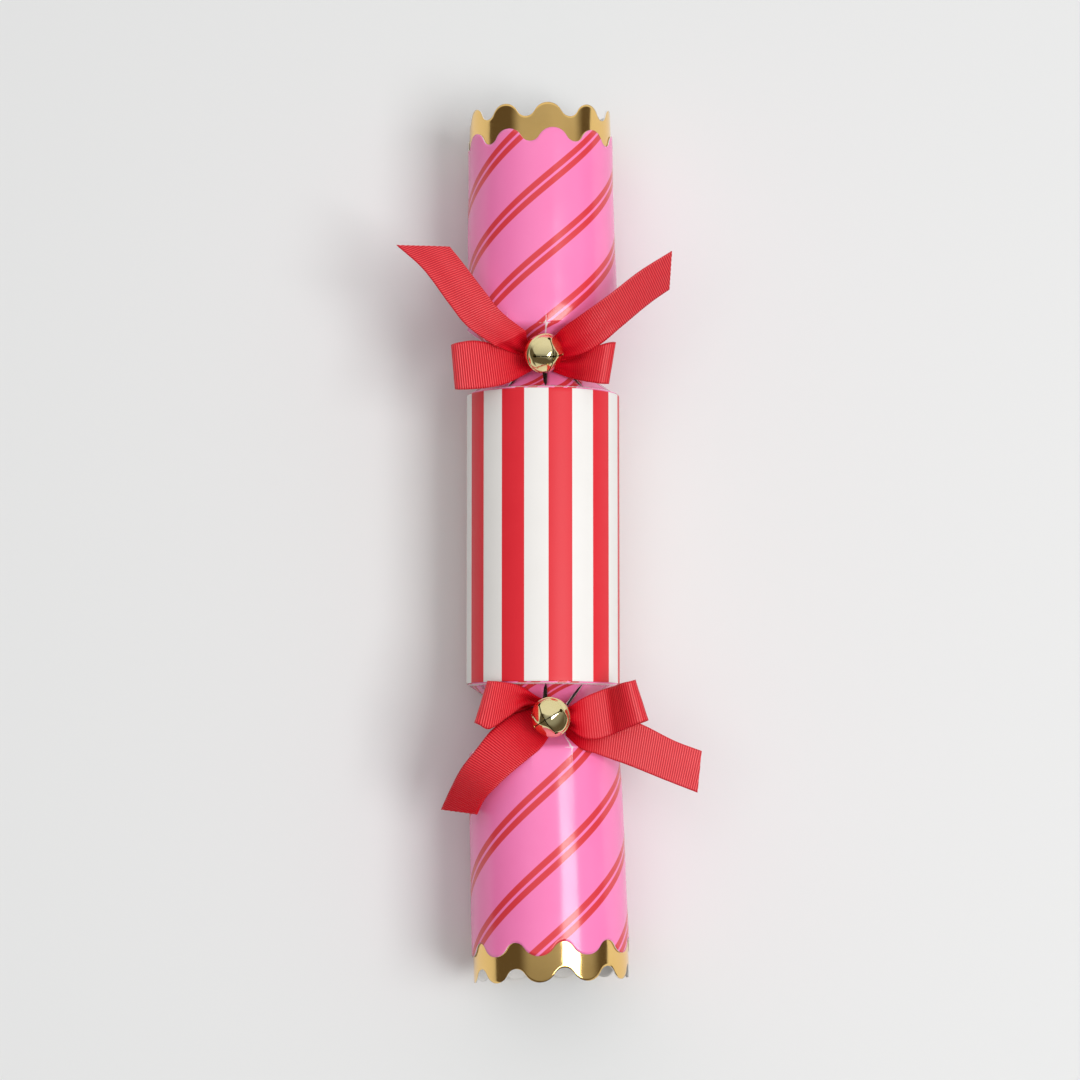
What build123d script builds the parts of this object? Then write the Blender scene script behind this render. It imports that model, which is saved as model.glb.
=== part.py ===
"""A christmas cracker: three card tubes in a paper wrapper choked at two necks, with a snap inside."""

import os
from math import asin, atan, cos, degrees, radians, sin, sqrt

from build123d import *

os.makedirs("parts", exist_ok=True)

# Sizes that drive the cracker, in millimetres and degrees

# Paper and card
band_paper = 0.3
wrapper_paper = 0.4
foil_card = 0.4
tube_card = 0.8
glue_line = 0.1

# Barrel
band_diameter = 52.0
barrel_length = 99.2
band_inset = 0.6
rest_flat_width = 10.0

# Necks
neck_length = 22.0
panel_count = 12
waist_radius = 9.5
tear_gap = 0.5
finger_base_radius = 25.2
slit_at_waist = 1.4
slit_at_barrel = 0.6
barrel_corner_angle = 2.0

# Tails
tail_length = 75.2
foil_reveal = 8.2
cuff_overlap = 26.0
crease_radius = 25.7
scallop_count = 10
scallop_depth = 4.6
crest_share = 0.6
end_tube_length = 46.0
end_tube_setback = 8.0
tube_inset = 1.4

# Snap
snap_width = 8.0
snap_card = 0.6
snap_space = 0.4
snap_overlap = 40.0
snap_coat = 0.12
coat_length = 10.0
sleeve_length = 34.0
sleeve_paper = 0.3
sleeve_room = 0.35
snap_bend = 8.0
glued_from_share = 0.35
glued_to_share = 0.9

# Ribbon
ribbon_width = 15.0
ribbon_thickness = 0.6
wrap_outer_radius = 15.0
knot_length = 10.0
knot_width = 7.6
knot_height = 4.0
knot_rounding = 1.0
gather_width = 5.0
loop_belly_share = 0.45
loop_belly_rise = 0.7
loop_full_width_share = 0.85
end_full_width_share = 0.5
fit_gap = 0.3

# Jingle bells
bell_diameter = 13.0
bell_wall = 0.5
bell_slot = 1.1
slot_end_diameter = 2.4
slot_end_angle = 58.0
seam_bead = 0.25
seam_height = 0.8
pellet_diameter = 4.0
eye_wire = 0.8
eye_half_width = 1.4
eye_leg = 0.6
thread_room = 0.9
thread_diameter = 0.6
thread_arch = 1.9

# Contents of the barrel
crown_length = 80.0
crown_turns = 3
crown_start_radius = 3.0
crown_step = 1.4
crown_layer = 0.8
crown_point_depth = 8.0
crown_point_share = 0.45
crown_aside_share = -0.36
motto_length = 50.0
motto_turns = 2
motto_start_radius = 1.8
motto_step = 1.0
motto_layer = 0.4
motto_aside_share = 0.3
motto_along_share = -0.2
gift_diameter = 15.0
gift_height = 24.0
gift_stem_share = 0.2
gift_aside_share = 0.4
gift_along_share = 0.27

# Heights and stations that follow from the sizes
band_radius = band_diameter / 2
axis_height = sqrt(band_radius**2 - (rest_flat_width / 2) ** 2)
neck_y = barrel_length / 2 + neck_length / 2
wrapper_radius = band_radius - band_paper - glue_line
tube_radius = wrapper_radius - wrapper_paper - glue_line
barrel_bore = tube_radius - tube_card
crease = neck_length / 2
pink_crest = crease + tail_length - foil_reveal
gold_crest = crease + tail_length
finger_length = neck_length / 2 - tear_gap / 2
neck_slope = atan((finger_base_radius - waist_radius) / finger_length)
neck_wall = wrapper_paper / cos(neck_slope)
bell_radius = bell_diameter / 2
bell_stand_off = bell_radius + thread_room
knot_floor = wrap_outer_radius + fit_gap
knot_top = knot_floor + knot_height
scrap = 1.0

# The two ends: 'side' is +1 for the top end, angles run from straight up towards +X
ENDS = {
    "top": {
        "side": 1,
        "lean": -0.7,
        "rise": 1.6,
        "corner": 2.6,
        "mouth_radius": 24.6,
        "pink_crest_angle": 9.0,
        "gold_crest_angle": 6.5,
        "knot_x": -1.5,
        "bell_lean": (0.5, -0.29, 0.815),
        "bell_eye": (-3.5, 1.9),
        "slot_turn": 20.0,
        "loops": {
            "left": {"heading": 189.5, "reach": 28.8, "feet": (15.9, 17.6), "low": 20.5, "high": 26.0},
            "right": {"heading": -9.1, "reach": 24.6, "feet": (15.9, 17.2), "low": 22.0, "high": 25.4},
        },
        "ribbon_ends": {
            "left": {
                "heading": 137.0,
                "reach": 52.4,
                "roll": 0.0,
                "cut": 0.0,
                "foot": 20.0,
                "climb": 4.0,
                "crest": 28.2,
                "tip": 25.5,
            },
            "right": {
                "heading": 32.4,
                "reach": 52.3,
                "roll": -10.0,
                "cut": 90.0,
                "foot": 20.8,
                "climb": 6.5,
                "crest": 29.4,
                "tip": 23.0,
            },
        },
    },
    "bottom": {
        "side": -1,
        "lean": 1.9,
        "rise": 1.2,
        "corner": 21.0,
        "mouth_radius": 26.5,
        "pink_crest_angle": 25.7,
        "gold_crest_angle": 25.7,
        "knot_x": 2.8,
        "bell_lean": (-0.1, -0.05, 0.994),
        "bell_eye": (3.4, 0.0),
        "slot_turn": 62.0,
        "loops": {
            "left": {"heading": 169.9, "reach": 23.5, "feet": (16.9, 18.2), "low": 22.5, "high": 26.3},
            "right": {"heading": 8.9, "reach": 30.4, "feet": (17.7, 18.9), "low": 25.8, "high": 30.2},
        },
        "ribbon_ends": {
            "left": {
                "heading": 225.7,
                "reach": 45.0,
                "roll": -12.0,
                "cut": -6.0,
                "foot": 21.2,
                "climb": 3.5,
                "crest": 27.4,
                "tip": 19.0,
            },
            "right": {
                "heading": -20.5,
                "reach": 53.3,
                "roll": 0.0,
                "cut": 84.0,
                "foot": 15.9,
                "climb": 6.2,
                "crest": 21.8,
                "tip": 20.0,
            },
        },
    },
}


def save(builder, name):
    """Label a finished piece and write it out."""
    builder.part.label = name
    export_step(builder.part, f"parts/{name}.step")


def neck_plane(side, distance, lean=0.0, rise=0.0):
    """Plane square to the cracker at a distance from its middle, facing outwards, its y axis up."""
    outward = Vector(sin(radians(lean)), side * cos(radians(lean)), sin(radians(rise)))
    across = Vector(-side * cos(radians(lean)), sin(radians(lean)), 0)
    return Plane(origin=(0, side * distance, axis_height), x_dir=across, z_dir=outward)


def clock(side, angle):
    """Angle in a neck plane of a direction measured from straight up towards +X."""
    return 90 + side * angle


barrel_plane = neck_plane(-1, 0)


def flatted_outline(radius, mode=Mode.ADD):
    """Round section of one layer of the barrel, with the flat of the glued lap at its underside."""
    flat_level = axis_height - (band_radius - radius)
    flat_angle = degrees(asin(flat_level / radius))
    with BuildLine() as outline:
        bow = CenterArc((0, 0), radius, -flat_angle, 180 + 2 * flat_angle)
        Line(bow @ 1, bow @ 0)
    make_face(outline.edges(), mode=mode)


def flatted_tube(length, outer, wall, name):
    """One layer of the barrel, centred on its middle."""
    with BuildPart() as tube:
        with BuildSketch(barrel_plane):
            flatted_outline(outer)
            flatted_outline(outer - wall, Mode.SUBTRACT)
        extrude(amount=length / 2, both=True)
    save(tube, name)


def panelled_face(radius, turn):
    """Twelve straight sides: the section of the wrapper at a crease or at the waist."""
    RegularPolygon(radius, panel_count, rotation=turn)


def rounded_face(radius, turn):
    """A circle in twelve arcs, so that each arc meets one side of the crease."""
    step = 360 / panel_count
    with BuildLine() as outline:
        for index in range(panel_count):
            CenterArc((0, 0), radius, turn + index * step, step)
    make_face(outline.edges())


def neck_frustum(plane, near, near_radius, far, far_radius, turn, mode=Mode.ADD):
    """Twelve flat panels between two twelve-sided sections."""
    with BuildSketch(plane.offset(near)) as near_end:
        panelled_face(near_radius, turn)
    with BuildSketch(plane.offset(far)) as far_end:
        panelled_face(far_radius, turn)
    loft([near_end.sketch, far_end.sketch], ruled=True, mode=mode)


def relaxing_tube(plane, far, near_radius, far_radius, turn, mode=Mode.ADD):
    """Tail surface that starts twelve-sided at the crease and ends round."""
    with BuildSketch(plane.offset(crease)) as near_end:
        panelled_face(near_radius, turn)
    with BuildSketch(plane.offset(far)) as far_end:
        rounded_face(far_radius, turn)
    loft([near_end.sketch, far_end.sketch], ruled=True, mode=mode)


def cut_scallops(plane, side, crest_angle, crest, radius):
    """Cut the wave of the mouth: one trough between each two crests, round the axis."""
    step = 360 / scallop_count
    half_period = radius * sin(radians(step / 2))
    arc_sum = (half_period**2 + scallop_depth**2) / (2 * scallop_depth)
    crest_arc = arc_sum * crest_share
    trough_arc = arc_sum - crest_arc
    join = degrees(asin((arc_sum - scallop_depth) / arc_sum))
    wide = half_period + scrap / 2
    planes = []
    for index in range(scallop_count):
        turn = radians(clock(side, crest_angle + step * (index + 0.5)))
        outward = plane.x_dir * cos(turn) + plane.y_dir * sin(turn)
        planes.append(Plane(origin=plane.origin, x_dir=plane.z_dir.cross(outward), z_dir=outward))
    with BuildSketch(*planes) as troughs:
        with BuildLine():
            CenterArc((-half_period, crest - crest_arc), crest_arc, 90, join - 90)
            CenterArc((0, crest - scallop_depth + trough_arc), trough_arc, 180 + join, 180 - 2 * join)
            CenterArc((half_period, crest - crest_arc), crest_arc, 180 - join, join - 90)
            Polyline(
                (half_period, crest),
                (wide, crest),
                (wide, crest + 2 * scrap),
                (-wide, crest + 2 * scrap),
                (-wide, crest),
                (-half_period, crest),
            )
        make_face()
    extrude(troughs.sketch, amount=radius + 3 * scrap, mode=Mode.SUBTRACT)


def tail_radius(end, distance):
    """Outside radius of a tail's wrapper, at its corners, so far from the middle of the neck."""
    share = (distance - crease) / (pink_crest - crease)
    return crease_radius + share * (end["mouth_radius"] - crease_radius)


def barrel_wrapper():
    """Wrapper on the barrel: the round run under the band, and twelve slit fingers at each end."""
    lip = wrapper_paper
    slit_root = finger_base_radius - neck_wall - glue_line
    with BuildPart() as wrapper:
        with BuildSketch(barrel_plane):
            flatted_outline(wrapper_radius)
            flatted_outline(wrapper_radius - wrapper_paper, Mode.SUBTRACT)
        extrude(amount=barrel_length / 2, both=True)
        for side in (1, -1):
            edge = neck_plane(side, barrel_length / 2)
            turn = clock(side, barrel_corner_angle)
            with BuildSketch(edge):
                flatted_outline(wrapper_radius)
            extrude(amount=-lip)
            neck_frustum(edge, 0, finger_base_radius, finger_length, waist_radius, turn)
            with BuildSketch(edge):
                panelled_face(finger_base_radius - neck_wall, turn)
            extrude(amount=-2 * lip, mode=Mode.SUBTRACT)
            hollow_base = finger_base_radius - neck_wall
            hollow_waist = waist_radius - neck_wall
            neck_frustum(edge, 0, hollow_base, finger_length, hollow_waist, turn, Mode.SUBTRACT)
            with BuildSketch(edge):
                with PolarLocations(0, panel_count, start_angle=turn):
                    Polygon(
                        (0, -slit_at_waist / 2),
                        (slit_root, -slit_at_barrel / 2),
                        (slit_root, slit_at_barrel / 2),
                        (0, slit_at_waist / 2),
                        align=None,
                    )
            extrude(amount=finger_length + scrap, mode=Mode.SUBTRACT)
    save(wrapper, "wrapper_barrel")


def tail_wrapper(plane, end, name):
    """Wrapper of one tail: neck panels, crease, body that relaxes to round, scalloped mouth."""
    side = end["side"]
    turn = clock(side, end["corner"])
    past = pink_crest + scrap
    with BuildPart() as wrapper:
        neck_frustum(plane, tear_gap / 2, waist_radius, crease, crease_radius, turn)
        relaxing_tube(plane, past, crease_radius, tail_radius(end, past), turn)
        hollow_waist = waist_radius - neck_wall
        neck_frustum(plane, tear_gap / 2, hollow_waist, crease, crease_radius - neck_wall, turn, Mode.SUBTRACT)
        hollow_mouth = tail_radius(end, past) - wrapper_paper
        relaxing_tube(plane, past, crease_radius - wrapper_paper, hollow_mouth, turn, Mode.SUBTRACT)
        cut_scallops(plane, side, end["pink_crest_angle"], pink_crest, end["mouth_radius"])
    save(wrapper, name)


def foil_cuff(plane, end, name):
    """Gold foil card glued inside the mouth of a tail, its own scallops standing out of the wrapper."""
    side = end["side"]
    turn = clock(side, end["corner"])
    past = gold_crest + scrap
    inset = wrapper_paper + glue_line
    with BuildPart() as cuff:
        relaxing_tube(plane, past, crease_radius - inset, tail_radius(end, past) - inset, turn)
        relaxing_tube(
            plane,
            past,
            crease_radius - inset - foil_card,
            tail_radius(end, past) - inset - foil_card,
            turn,
            Mode.SUBTRACT,
        )
        split(bisect_by=plane.offset(pink_crest - cuff_overlap), keep=Keep.TOP)
        cut_scallops(plane, side, end["gold_crest_angle"], gold_crest, tail_radius(end, gold_crest) - inset)
    save(cuff, name)


def end_tube(plane, end, name):
    """Card tube that keeps a tail round."""
    near = crease + end_tube_setback
    far = near + end_tube_length
    with BuildPart() as tube:
        for inset, mode in ((tube_inset, Mode.ADD), (tube_inset + tube_card, Mode.SUBTRACT)):
            for distance in (near, far):
                with BuildSketch(plane.offset(distance)):
                    Circle(tail_radius(end, distance) - inset)
            loft(ruled=True, mode=mode)
    save(tube, name)


def snap_strip(plane, end, name):
    """One half of the snap: flat through the barrel and the neck, then glued down inside the end tube."""
    side = end["side"]
    level = side * (snap_space + snap_card) / 2
    near = crease + end_tube_setback + glued_from_share * end_tube_length
    far = crease + end_tube_setback + glued_to_share * end_tube_length
    half = snap_width / 2

    def wall_level(distance):
        bore = tail_radius(end, distance) - tube_inset - tube_card
        return glue_line + snap_card / 2 - sqrt(bore**2 - half**2)

    straight = Plane(origin=(0, 0, axis_height), x_dir=(0, side, 0), z_dir=(side, 0, 0))
    bent = Plane(origin=plane.origin, x_dir=plane.z_dir, z_dir=plane.x_dir * -1)
    with BuildPart() as strip:
        with BuildSketch(straight):
            with BuildLine():
                Line((-snap_overlap / 2, level), (neck_y + 2 * scrap, level))
            trace(line_width=snap_card)
        extrude(amount=half, both=True)
        with BuildSketch(bent):
            with BuildLine():
                FilletPolyline(
                    (0, level),
                    (crease / 2, level),
                    (near, wall_level(near)),
                    (far, wall_level(far)),
                    radius=snap_bend,
                )
            trace(line_width=snap_card)
        extrude(amount=half, both=True)
    save(strip, name)


def snap_details():
    """The two coats that rub on each other, and the paper sleeve that keeps the overlap together."""
    for name, side in (("snap_friction_coat", 1), ("snap_charge_coat", -1)):
        with BuildPart(Plane.XY.offset(axis_height)) as coat:
            with Locations((0, -side * snap_overlap / 4, side * (snap_space - snap_coat) / 2)):
                Box(snap_width - scrap, coat_length, snap_coat)
        save(coat, name)
    room_width = snap_width + 2 * sleeve_room
    room_height = 2 * snap_card + snap_space + 2 * sleeve_room
    with BuildPart() as sleeve:
        with BuildSketch(barrel_plane):
            RectangleRounded(room_width + 2 * sleeve_paper, room_height + 2 * sleeve_paper, 2 * sleeve_paper)
            RectangleRounded(room_width, room_height, sleeve_paper, mode=Mode.SUBTRACT)
        extrude(amount=sleeve_length / 2, both=True)
    save(sleeve, "snap_sleeve")


def ribbon_wrap(plane, name):
    """Ribbon gathered into the groove of the neck."""
    slope = (crease_radius - waist_radius) / finger_length
    inner = waist_radius + fit_gap + 2 * ribbon_thickness / slope
    clearance = 2 * fit_gap
    inner_half = ribbon_thickness / 2
    outer_half = (wrap_outer_radius - waist_radius) / slope - clearance
    with BuildPart() as wrap:
        with BuildSketch(Plane(origin=plane.origin, x_dir=plane.y_dir, z_dir=plane.x_dir)):
            with BuildLine():
                Polyline(
                    (wrap_outer_radius - ribbon_thickness, outer_half),
                    (inner + scrap, inner_half),
                    (inner + scrap, -inner_half),
                    (wrap_outer_radius - ribbon_thickness, -outer_half),
                )
                ThreePointArc(
                    (wrap_outer_radius - ribbon_thickness, -outer_half),
                    (wrap_outer_radius, 0),
                    (wrap_outer_radius - ribbon_thickness, outer_half),
                )
            make_face()
        revolve(axis=Axis(plane.origin, plane.z_dir))
    save(wrap, name)


def knot_point(end, height):
    """Middle of a knot, so high above the axis."""
    return Vector(end["knot_x"], end["side"] * neck_y, axis_height + height)


def bow_knot(end, name):
    """Knot on top of the wrap."""
    with BuildPart(Plane(origin=knot_point(end, knot_floor))) as knot:
        Box(knot_length, knot_width, knot_height, align=(Align.CENTER, Align.CENTER, Align.MIN))
        fillet(knot.edges(), knot_rounding)
    save(knot, name)


def clear_knot(end):
    """Trim a stretch of ribbon where it meets the knot."""
    room = fit_gap / 2
    with Locations(knot_point(end, knot_floor - room)):
        Box(
            knot_length + 2 * room,
            knot_width + 2 * room,
            knot_height + 2 * room,
            align=(Align.CENTER, Align.CENTER, Align.MIN),
            mode=Mode.SUBTRACT,
        )


def ribbon_plane(origin, heading, roll=0.0):
    """Upright plane along a ribbon; a roll tips the ribbon about its own length."""
    along = Vector(cos(radians(heading)), sin(radians(heading)), 0)
    level = Vector(sin(radians(heading)), -cos(radians(heading)), 0)
    across = level * cos(radians(roll)) + Vector(0, 0, 1) * sin(radians(roll))
    return Plane(origin=origin, x_dir=along, z_dir=across)


def bow_loop(end, shape, name):
    """One loop of a bow, gathered where it leaves the knot."""
    origin = knot_point(end, 0)
    start = knot_length / 2 + fit_gap
    low_foot, high_foot = shape["feet"]
    low, high, reach = shape["low"], shape["high"], shape["reach"]
    nose = (high - low) / 2
    half = ribbon_width / 2
    middle = loop_belly_share * reach
    low_belly = low_foot + loop_belly_rise * (low - low_foot)
    high_belly = high_foot + loop_belly_rise * (high - high_foot)
    full_width = loop_full_width_share * reach
    with BuildPart() as loop:
        with BuildSketch(ribbon_plane(origin, shape["heading"])):
            with BuildLine():
                ThreePointArc((start, low_foot), (middle, low_belly), (reach - nose, low))
                ThreePointArc((reach - nose, low), (reach, low + nose), (reach - nose, high))
                ThreePointArc((reach - nose, high), (middle, high_belly), (start, high_foot))
            trace(line_width=ribbon_thickness)
        extrude(amount=half, both=True)
        with BuildSketch(Plane(origin=origin).rotated((0, 0, shape["heading"]))):
            Polygon(
                (0, -gather_width / 2),
                (full_width, -half),
                (reach + scrap, -half),
                (reach + scrap, half),
                (full_width, half),
                (0, gather_width / 2),
                align=None,
            )
        extrude(amount=2 * band_radius, mode=Mode.INTERSECT)
        clear_knot(end)
    save(loop, name)


def ribbon_end(end, shape, name):
    """One free end of a bow: up from the knot, over the crease of the tail, out to a slanting cut."""
    start = knot_length / 2 + fit_gap
    crest, reach, heading = shape["crest"], shape["reach"], shape["heading"]
    half = ribbon_width / 2
    full_width = end_full_width_share * reach
    slant = radians(shape["cut"] - heading)
    skew = half * cos(slant) / sin(slant)
    with BuildPart() as strip:
        with BuildSketch(ribbon_plane(knot_point(end, crest), heading, shape["roll"])):
            with BuildLine():
                foot = Line((start, shape["foot"] - crest), (start + shape["climb"], -ribbon_thickness / 2))
                ThreePointArc(foot @ 1, (reach / 2, 0), (reach + half, shape["tip"] - crest))
            trace(line_width=ribbon_thickness)
        extrude(amount=half, both=True)
        with BuildSketch(Plane(origin=knot_point(end, 0)).rotated((0, 0, heading))):
            Polygon(
                (0, -gather_width / 2),
                (full_width, -half),
                (reach - skew, -half),
                (reach + skew, half),
                (full_width, half),
                (0, gather_width / 2),
                align=None,
            )
        extrude(amount=2 * band_radius, mode=Mode.INTERSECT)
        clear_knot(end)
    save(strip, name)


def bell_plane(end):
    """Plane through the middle of a bell, facing along its slotted pole."""
    pole = Vector(*end["bell_lean"]).normalized()
    eye_x, eye_y = end["bell_eye"]
    eye = Vector(eye_x, end["side"] * neck_y + eye_y, axis_height + knot_top + thread_arch)
    level = Vector(0, 1, 0) - pole * pole.Y
    return Plane(origin=eye + pole * bell_stand_off, x_dir=level, z_dir=pole)


def bell_shells(plane, end, name):
    """The two pressed halves of a jingle bell: one with its eye holes, one with the crossed slots."""
    inner = bell_radius - bell_wall
    with BuildPart(plane) as plain:
        Sphere(bell_radius, arc_size1=-90, arc_size2=0, align=None)
        Sphere(inner, mode=Mode.SUBTRACT)
        with Locations((eye_half_width, 0, -bell_radius), (-eye_half_width, 0, -bell_radius)):
            Cylinder(eye_wire / 2 + glue_line, 4 * bell_wall, mode=Mode.SUBTRACT)
    save(plain, f"{name}_plain_shell")
    slot_plane = plane * Rotation(0, 0, end["slot_turn"])
    with BuildPart(slot_plane) as slotted:
        Sphere(bell_radius, arc_size1=0, arc_size2=90, align=None)
        Cylinder(bell_radius + seam_bead, seam_height, align=(Align.CENTER, Align.CENTER, Align.MIN))
        Sphere(inner, mode=Mode.SUBTRACT)
        length = 2 * bell_radius * sin(radians(slot_end_angle))
        for turn in (0, 90):
            with Locations(Rotation(0, 0, turn)):
                Box(
                    length,
                    bell_slot,
                    bell_diameter,
                    align=(Align.CENTER, Align.CENTER, Align.MIN),
                    mode=Mode.SUBTRACT,
                )
        for turn in range(0, 360, 90):
            with Locations(Rotation(0, 0, turn) * Rotation(0, slot_end_angle, 0)):
                Cylinder(
                    slot_end_diameter / 2,
                    bell_diameter,
                    align=(Align.CENTER, Align.CENTER, Align.MIN),
                    mode=Mode.SUBTRACT,
                )
    save(slotted, f"{name}_slotted_shell")


def bell_eye(plane, name):
    """Wire eye whose two legs go through the plain shell."""
    shoulder = -bell_radius - eye_leg
    foot = -bell_radius + bell_wall + glue_line
    with BuildPart() as eye:
        with BuildLine(Plane(origin=plane.origin, x_dir=plane.x_dir, z_dir=plane.y_dir * -1)) as path:
            Line((eye_half_width, foot), (eye_half_width, shoulder))
            CenterArc((0, shoulder), eye_half_width, 0, -180)
            Line((-eye_half_width, shoulder), (-eye_half_width, foot))
        with BuildSketch(Plane(origin=path.line @ 0, z_dir=path.line % 0)):
            Circle(eye_wire / 2)
        sweep()
    save(eye, f"{name}_eye")


def bell_pellet(plane, name):
    """Steel pellet lying at the bottom of the bell."""
    drop = bell_radius - bell_wall - pellet_diameter / 2 - glue_line
    with BuildPart(Plane(origin=plane.origin - Vector(0, 0, drop))) as pellet:
        Sphere(pellet_diameter / 2)
    save(pellet, f"{name}_pellet")


def bell_thread(end, name):
    """Arch of thread from the knot through the eye and back."""
    eye_x, eye_y = end["bell_eye"]
    foot = Vector(eye_x, end["side"] * neck_y + eye_y, axis_height + knot_top)
    with BuildPart() as thread:
        with BuildLine(Plane(origin=foot, x_dir=(1, 0, 0), z_dir=(0, -1, 0))) as path:
            CenterArc((0, 0), thread_arch, 0, 180)
        with BuildSketch(Plane(origin=path.line @ 0, z_dir=path.line % 0)):
            Circle(thread_diameter / 2)
        sweep()
    save(thread, f"{name}_thread")


def rolled_sheet(plane, turns, start_radius, step, layer, length):
    """Sheet rolled up in half circles that grow by half a step each."""
    with BuildSketch(plane) as spiral:
        with BuildLine():
            for half_turn in range(2 * turns):
                middle = (half_turn % 2) * step / 2
                CenterArc((middle, 0), start_radius + half_turn * step / 2, 180 * (half_turn % 2), 180)
        trace(line_width=layer)
    extrude(spiral.sketch, amount=length / 2, both=True)


def resting_plane(roll_radius, aside, along):
    """Plane across a roll that lies in the barrel, a little to one side of its lowest line."""
    swing = barrel_bore - roll_radius - 2 * glue_line
    return Plane(
        origin=(aside, along, axis_height - sqrt(swing**2 - aside**2)), x_dir=(1, 0, 0), z_dir=(0, -1, 0)
    )


def barrel_contents():
    """Crown, motto and gift, side by side under the snap."""
    crown_radius = crown_start_radius + (crown_turns - 0.5) * crown_step + crown_layer
    crown_plane = resting_plane(crown_radius, crown_aside_share * barrel_bore, 0)
    point_half = crown_point_share * crown_radius
    with BuildPart() as crown:
        rolled_sheet(crown_plane, crown_turns, crown_start_radius, crown_step, crown_layer, crown_length)
        for turn in (0, 60, 120):
            across = crown_plane.x_dir * cos(radians(turn)) + crown_plane.y_dir * sin(radians(turn))
            square = crown_plane.z_dir.cross(across)
            with BuildSketch(Plane(origin=crown_plane.origin, x_dir=square, z_dir=across)):
                Polygon(
                    (0, crown_length / 2 - crown_point_depth),
                    (point_half, crown_length / 2 + scrap),
                    (-point_half, crown_length / 2 + scrap),
                    align=None,
                )
            extrude(amount=2 * crown_radius, both=True, mode=Mode.SUBTRACT)
    save(crown, "paper_crown")

    motto_radius = motto_start_radius + (motto_turns - 0.5) * motto_step + motto_layer
    with BuildPart() as motto:
        rolled_sheet(
            resting_plane(motto_radius, motto_aside_share * barrel_bore, motto_along_share * barrel_length),
            motto_turns,
            motto_start_radius,
            motto_step,
            motto_layer,
            motto_length,
        )
    save(motto, "motto_slip")

    gift_radius = gift_diameter / 2
    stem_radius = gift_stem_share * gift_radius
    rim_half = gift_height / 20
    gift_plane = resting_plane(gift_radius, gift_aside_share * barrel_bore, gift_along_share * barrel_length)
    with BuildPart() as gift:
        with BuildSketch(Plane(origin=gift_plane.origin, x_dir=gift_plane.x_dir, z_dir=gift_plane.y_dir)):
            with BuildLine():
                Polyline(
                    (0, -gift_height / 2),
                    (gift_radius, -rim_half),
                    (gift_radius, rim_half),
                    (stem_radius, 2 * rim_half),
                    (stem_radius, gift_height / 2),
                    (0, gift_height / 2),
                    close=True,
                )
            make_face()
        revolve(axis=Axis(gift_plane.origin, gift_plane.z_dir))
    save(gift, "gift_spinning_top")


flatted_tube(barrel_length - 2 * band_inset, band_radius, band_paper, "striped_band")
barrel_wrapper()
flatted_tube(barrel_length - 2 * (wrapper_paper + glue_line), tube_radius, tube_card, "barrel_tube")
barrel_contents()
snap_details()
for end_name, end in ENDS.items():
    tail_plane = neck_plane(end["side"], neck_y, end["lean"], end["rise"])
    tail_wrapper(tail_plane, end, f"wrapper_{end_name}_tail")
    foil_cuff(tail_plane, end, f"{end_name}_foil_cuff")
    end_tube(tail_plane, end, f"{end_name}_end_tube")
    snap_strip(tail_plane, end, f"snap_strip_{end_name}")
    ribbon_wrap(tail_plane, f"{end_name}_ribbon_wrap")
    bow_knot(end, f"{end_name}_bow_knot")
    for hand, shape in end["loops"].items():
        bow_loop(end, shape, f"{end_name}_bow_{hand}_loop")
    for hand, shape in end["ribbon_ends"].items():
        ribbon_end(end, shape, f"{end_name}_bow_{hand}_end")
    shell_plane = bell_plane(end)
    bell_name = f"{end_name}_bell"
    bell_shells(shell_plane, end, bell_name)
    bell_eye(shell_plane, bell_name)
    bell_pellet(shell_plane, bell_name)
    bell_thread(end, bell_name)
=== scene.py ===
"""Christmas cracker on a pale table: printed paper, gold foil, grosgrain ribbon and jingle bells."""

from math import asin, atan2, cos, degrees, exp, hypot, pi, radians, sin, sqrt

import bmesh
import bpy
from mathutils import Matrix, Vector, noise


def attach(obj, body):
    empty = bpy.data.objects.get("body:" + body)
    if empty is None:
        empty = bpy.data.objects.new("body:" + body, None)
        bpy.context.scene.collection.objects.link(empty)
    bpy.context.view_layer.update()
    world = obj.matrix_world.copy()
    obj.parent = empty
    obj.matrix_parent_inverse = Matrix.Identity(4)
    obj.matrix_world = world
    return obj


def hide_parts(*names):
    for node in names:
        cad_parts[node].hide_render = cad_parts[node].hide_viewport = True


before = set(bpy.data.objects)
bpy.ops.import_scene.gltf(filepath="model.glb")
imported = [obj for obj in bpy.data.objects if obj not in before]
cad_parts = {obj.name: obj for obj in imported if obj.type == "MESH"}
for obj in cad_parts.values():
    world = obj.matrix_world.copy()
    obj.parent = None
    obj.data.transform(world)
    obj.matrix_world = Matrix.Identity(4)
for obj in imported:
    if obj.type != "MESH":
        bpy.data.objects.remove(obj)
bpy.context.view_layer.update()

mm = 0.001

# Sizes of the paper and card, as in the solids
band_radius = 26.0 * mm
rest_flat_width = 10.0 * mm
axis_height = sqrt(band_radius**2 - (rest_flat_width / 2) ** 2)
barrel_length = 99.2 * mm
band_inset = 0.6 * mm
band_paper = 0.3 * mm
wrapper_paper = 0.4 * mm
foil_card = 0.4 * mm
glue_line = 0.1 * mm
wrapper_radius = band_radius - band_paper - glue_line
neck_length = 22.0 * mm
neck_y = barrel_length / 2 + neck_length / 2
tear_gap = 0.5 * mm
panel_count = 12
panel_turn = 360 / panel_count
waist_radius = 9.5 * mm
finger_base_radius = 25.2 * mm
finger_length = neck_length / 2 - tear_gap / 2
slit_at_waist = 2.2 * mm
slit_at_barrel = 1.0 * mm
barrel_corner = 2.0
crease = neck_length / 2
crease_radius = 25.7 * mm
foil_reveal = 8.6 * mm
cuff_overlap = 26.0 * mm
scallop_count = 10
scallop_depth = 4.6 * mm
crest_share = 0.6
end_tube_setback = 8.0 * mm
end_tube_length = 46.0 * mm
tube_inset = 1.4 * mm
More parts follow.
